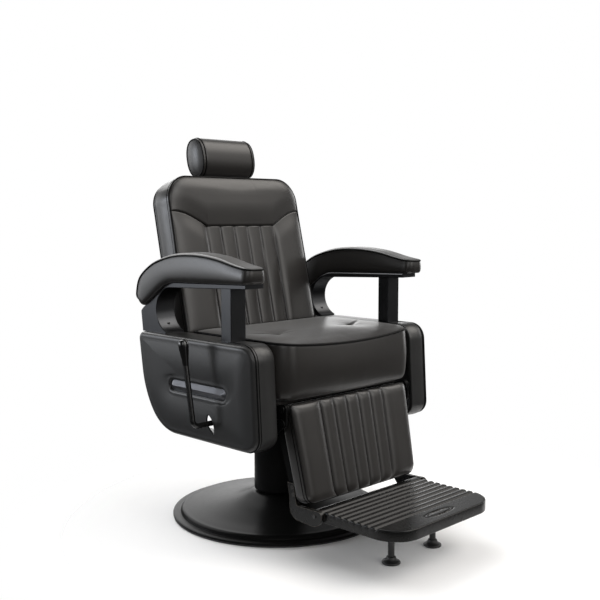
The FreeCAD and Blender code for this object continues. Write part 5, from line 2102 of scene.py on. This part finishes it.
@dataclass
class Stage:
    """Pale floor, white surroundings, soft lights and the camera at the photograph's place.

    Eye is in metres, and focal in pixels of an image that is that many pixels wide. The paint of the floor is
    its grey in light that falls back on the chair, and its grey in the picture and in mirrors.
    """

    eye: Triple = (-1.8159, -1.8985, 0.8684)
    yaw: float = 45.1
    pitch: float = -5.27
    focal: float = 908.4
    image: int = 600
    sensor: float = 36.0
    gloom: float = 0.05
    paper: float = 1100.0
    paper_at: Triple = (130.0, -200.0, -0.4)
    paper_fade: Pair = (0.4, 0.95)
    paper_sides: int = 96
    paint: Pair = (0.2, 0.9)
    key: SoftBox = SoftBox(-133.0, 9.0, 12.0, 12.0, 0.25, "e8f0ff")
    backdrop: SoftBox = SoftBox(135.0, 2.0, 8.0, 30.0, 0.3)
    boxes: Tuple[SoftBox, ...] = (
        SoftBox(-135.0, 6.0, 4.0, 13.0, 4.6, "fafcff"), SoftBox(-135.0, -3.0, 3.0, 8.0, 1.2, "fafcff"),
        SoftBox(-160.0, 8.0, 6.0, 18.0, 2.5, "fafcff"), SoftBox(-110.0, 10.0, 6.0, 18.0, 1.5, "fafcff"),
        SoftBox(135.0, 6.0, 4.0, 11.0, 1.9), SoftBox(135.0, 16.0, 6.0, 16.0, 0.2),
        SoftBox(150.0, 18.0, 6.0, 17.0, 3.0),
        SoftBox(140.0, 42.0, 10.0, 24.0, 0.6), SoftBox(24.0, 22.0, 6.0, 16.0, 1.1, "fffcf8"),
        SoftBox(178.0, 45.0, 10.0, 26.0, 4.6), SoftBox(180.0, 72.0, 9.0, 24.0, 2.5),
        SoftBox(62.0, 48.0, 10.0, 26.0, 4.0, "fffaf4"), SoftBox(45.0, 22.0, 7.0, 20.0, 0.9, "fffcf8"),
        SoftBox(45.0, 3.0, 5.0, 15.0, 0.3, "fffcf8"), SoftBox(2.0, 24.0, 8.0, 22.0, 2.8, "fffcf8"),
        SoftBox(2.0, 4.0, 6.0, 18.0, 0.3), SoftBox(10.0, 50.0, 10.0, 26.0, 2.0),
        SoftBox(90.0, 8.0, 6.0, 18.0, 3.0), SoftBox(-45.0, 24.0, 8.0, 22.0, 2.0))

    def camera(self) -> None:
        """Camera at eye height, looking 45 degrees across the chair."""
        data = bpy.data.cameras.new("camera")
        data.sensor_width = self.sensor
        data.lens = self.focal / self.image * data.sensor_width
        camera = bpy.data.objects.new("camera", data)
        yaw, pitch = math.radians(self.yaw), math.radians(self.pitch)
        level = math.cos(pitch)
        forward = Vector((math.sin(yaw) * level, math.cos(yaw) * level, math.sin(pitch)))
        camera.location = self.eye
        camera.rotation_euler = forward.to_track_quat("-Z", "Y").to_euler()
        bpy.context.scene.collection.objects.link(camera)
        bpy.context.scene.camera = camera

    def sun(self) -> None:
        """A distant soft lamp where the key stands, which spans its core."""
        data = bpy.data.lights.new("key_left", "SUN")
        data.energy, data.angle = self.key.power, math.radians(self.key.core)
        data.color = linear(self.key.tint)[:3]
        lamp = bpy.data.objects.new("key_left", data)
        lamp.rotation_euler = (-self.key.toward()).to_track_quat("-Z", "Y").to_euler()
        bpy.context.scene.collection.objects.link(lamp)

    def world(self) -> None:
        """White to the camera, and to everything else a room with soft boxes round a white backdrop."""
        world = bpy.data.worlds.new("studio_room")
        world.use_nodes = True
        tree = world.node_tree
        tree.nodes.clear()
        look = add(tree, "ShaderNodeTexCoord").outputs["Generated"]
        light = add(tree, "ShaderNodeRGB").outputs["Color"]
        light.default_value = (self.gloom, self.gloom, self.gloom, 1.0)
        for box in self.boxes:
            both = {0: light, 1: box.glow(tree, look)}
            light = add(tree, "ShaderNodeVectorMath", both, operation="ADD").outputs["Vector"]
        room = add(tree, "ShaderNodeBackground", {"Color": light})
        white = add(tree, "ShaderNodeBackground", {"Color": (1, 1, 1, 1)})
        path = add(tree, "ShaderNodeLightPath").outputs
        behind = add(tree, "ShaderNodeVectorMath", {0: self.backdrop.glow(tree, look)}, operation="LENGTH")
        mirrored = add(tree, "ShaderNodeMath", {0: path["Is Glossy Ray"], 1: path["Is Transmission Ray"]},
                       operation="MAXIMUM")
        share = add(tree, "ShaderNodeMath", {0: mirrored.outputs[0], 1: behind.outputs["Value"]},
                    operation="MULTIPLY")
        paper = add(tree, "ShaderNodeBackground", {"Color": (1, 1, 1, 1), "Strength": share.outputs[0]})
        lit = add(tree, "ShaderNodeAddShader", {0: room.outputs[0], 1: paper.outputs[0]})
        lit = add(tree, "ShaderNodeMixShader", {0: path["Is Camera Ray"], 1: lit.outputs[0],
                                                2: white.outputs[0]})
        add(tree, "ShaderNodeOutputWorld", {"Surface": lit.outputs[0]})
        bpy.context.scene.world = world

    def paper_material(self) -> bpy.types.Material:
        """Matt paper that is clear towards its edge.

        Returns:
            The floor's material.
        """
        made = bpy.data.materials.new("white_paper")
        made.use_nodes = True
        tree = made.node_tree
        tree.nodes.clear()
        where = add(tree, "ShaderNodeTexCoord").outputs["Object"]
        middle = Vector(np.array(self.paper_at) * MM)
        offset = add(tree, "ShaderNodeVectorMath", {0: where, 1: middle}, operation="SUBTRACT")
        far = add(tree, "ShaderNodeVectorMath", {0: offset.outputs["Vector"]}, operation="LENGTH")
        start, end = [share * self.paper * MM for share in self.paper_fade]
        fade = {"Value": far.outputs["Value"], "From Min": start, "From Max": end}
        edge = add(tree, "ShaderNodeMapRange", fade, interpolation_type="SMOOTHSTEP").outputs["Result"]
        path = add(tree, "ShaderNodeLightPath").outputs
        seen = path["Is Camera Ray"]
        for ray in ("Is Glossy Ray", "Is Transmission Ray"):
            seen = add(tree, "ShaderNodeMath", {0: seen, 1: path[ray]}, operation="MAXIMUM").outputs[0]
        dim, pale = self.paint
        paint = add(tree, "ShaderNodeMapRange", {"Value": seen, "To Min": dim, "To Max": pale})
        matt = add(tree, "ShaderNodeBsdfDiffuse", {"Color": paint.outputs["Result"]})
        clear = add(tree, "ShaderNodeBsdfTransparent")
        both = add(tree, "ShaderNodeMixShader", {0: edge, 1: matt.outputs[0], 2: clear.outputs[0]})
        add(tree, "ShaderNodeOutputMaterial", {"Surface": both.outputs[0]})
        return made

    def floor(self) -> None:
        """Round sheet of white paper that takes a soft shadow and runs out into the white around it."""
        turn = np.linspace(0, CIRCLE, self.paper_sides, endpoint=False)
        middle = np.array(self.paper_at)
        ring = middle + self.paper * np.stack([np.cos(turn), np.sin(turn), np.zeros(len(turn))], axis=-1)
        floor = put_down("floor", np.vstack([ring, middle[None]]), [fan(np.arange(len(ring)), len(ring))])
        floor.data.materials.append(self.paper_material())

    def build(self) -> None:
        """Set the stage."""
        bpy.context.scene.view_settings.view_transform = "Standard"
        self.camera()
        self.world()
        self.floor()
        self.sun()


# The chair


def node_slots() -> Dict[str, str]:
    """Slot of each node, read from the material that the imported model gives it."""
    return {name: node.data.materials[0].name.split(".")[0] for name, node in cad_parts.items()}


def main() -> None:
    """Build the sub-assemblies in order, fill the covers, finish the frame, set the stage."""
    logging.basicConfig(level=logging.INFO, format="%(message)s")
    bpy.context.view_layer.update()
    metalwork = Metalwork(node_slots())
    shop = Upholstery()
    back = Back(shop)
    parts = [Base(), Seat(shop), back, RearCover(back), LegRest(shop)]
    for side in Side:
        parts += [Arm(shop, side), SidePanel(side)]
    parts += [HeadRest(back), LeverGrip(), Feet(), FootPlate()]
    for part in parts:
        part.build()
    stuff(shop.covers)
    metalwork.build()
    Stage().build()


if __name__ == "__main__":
    main()
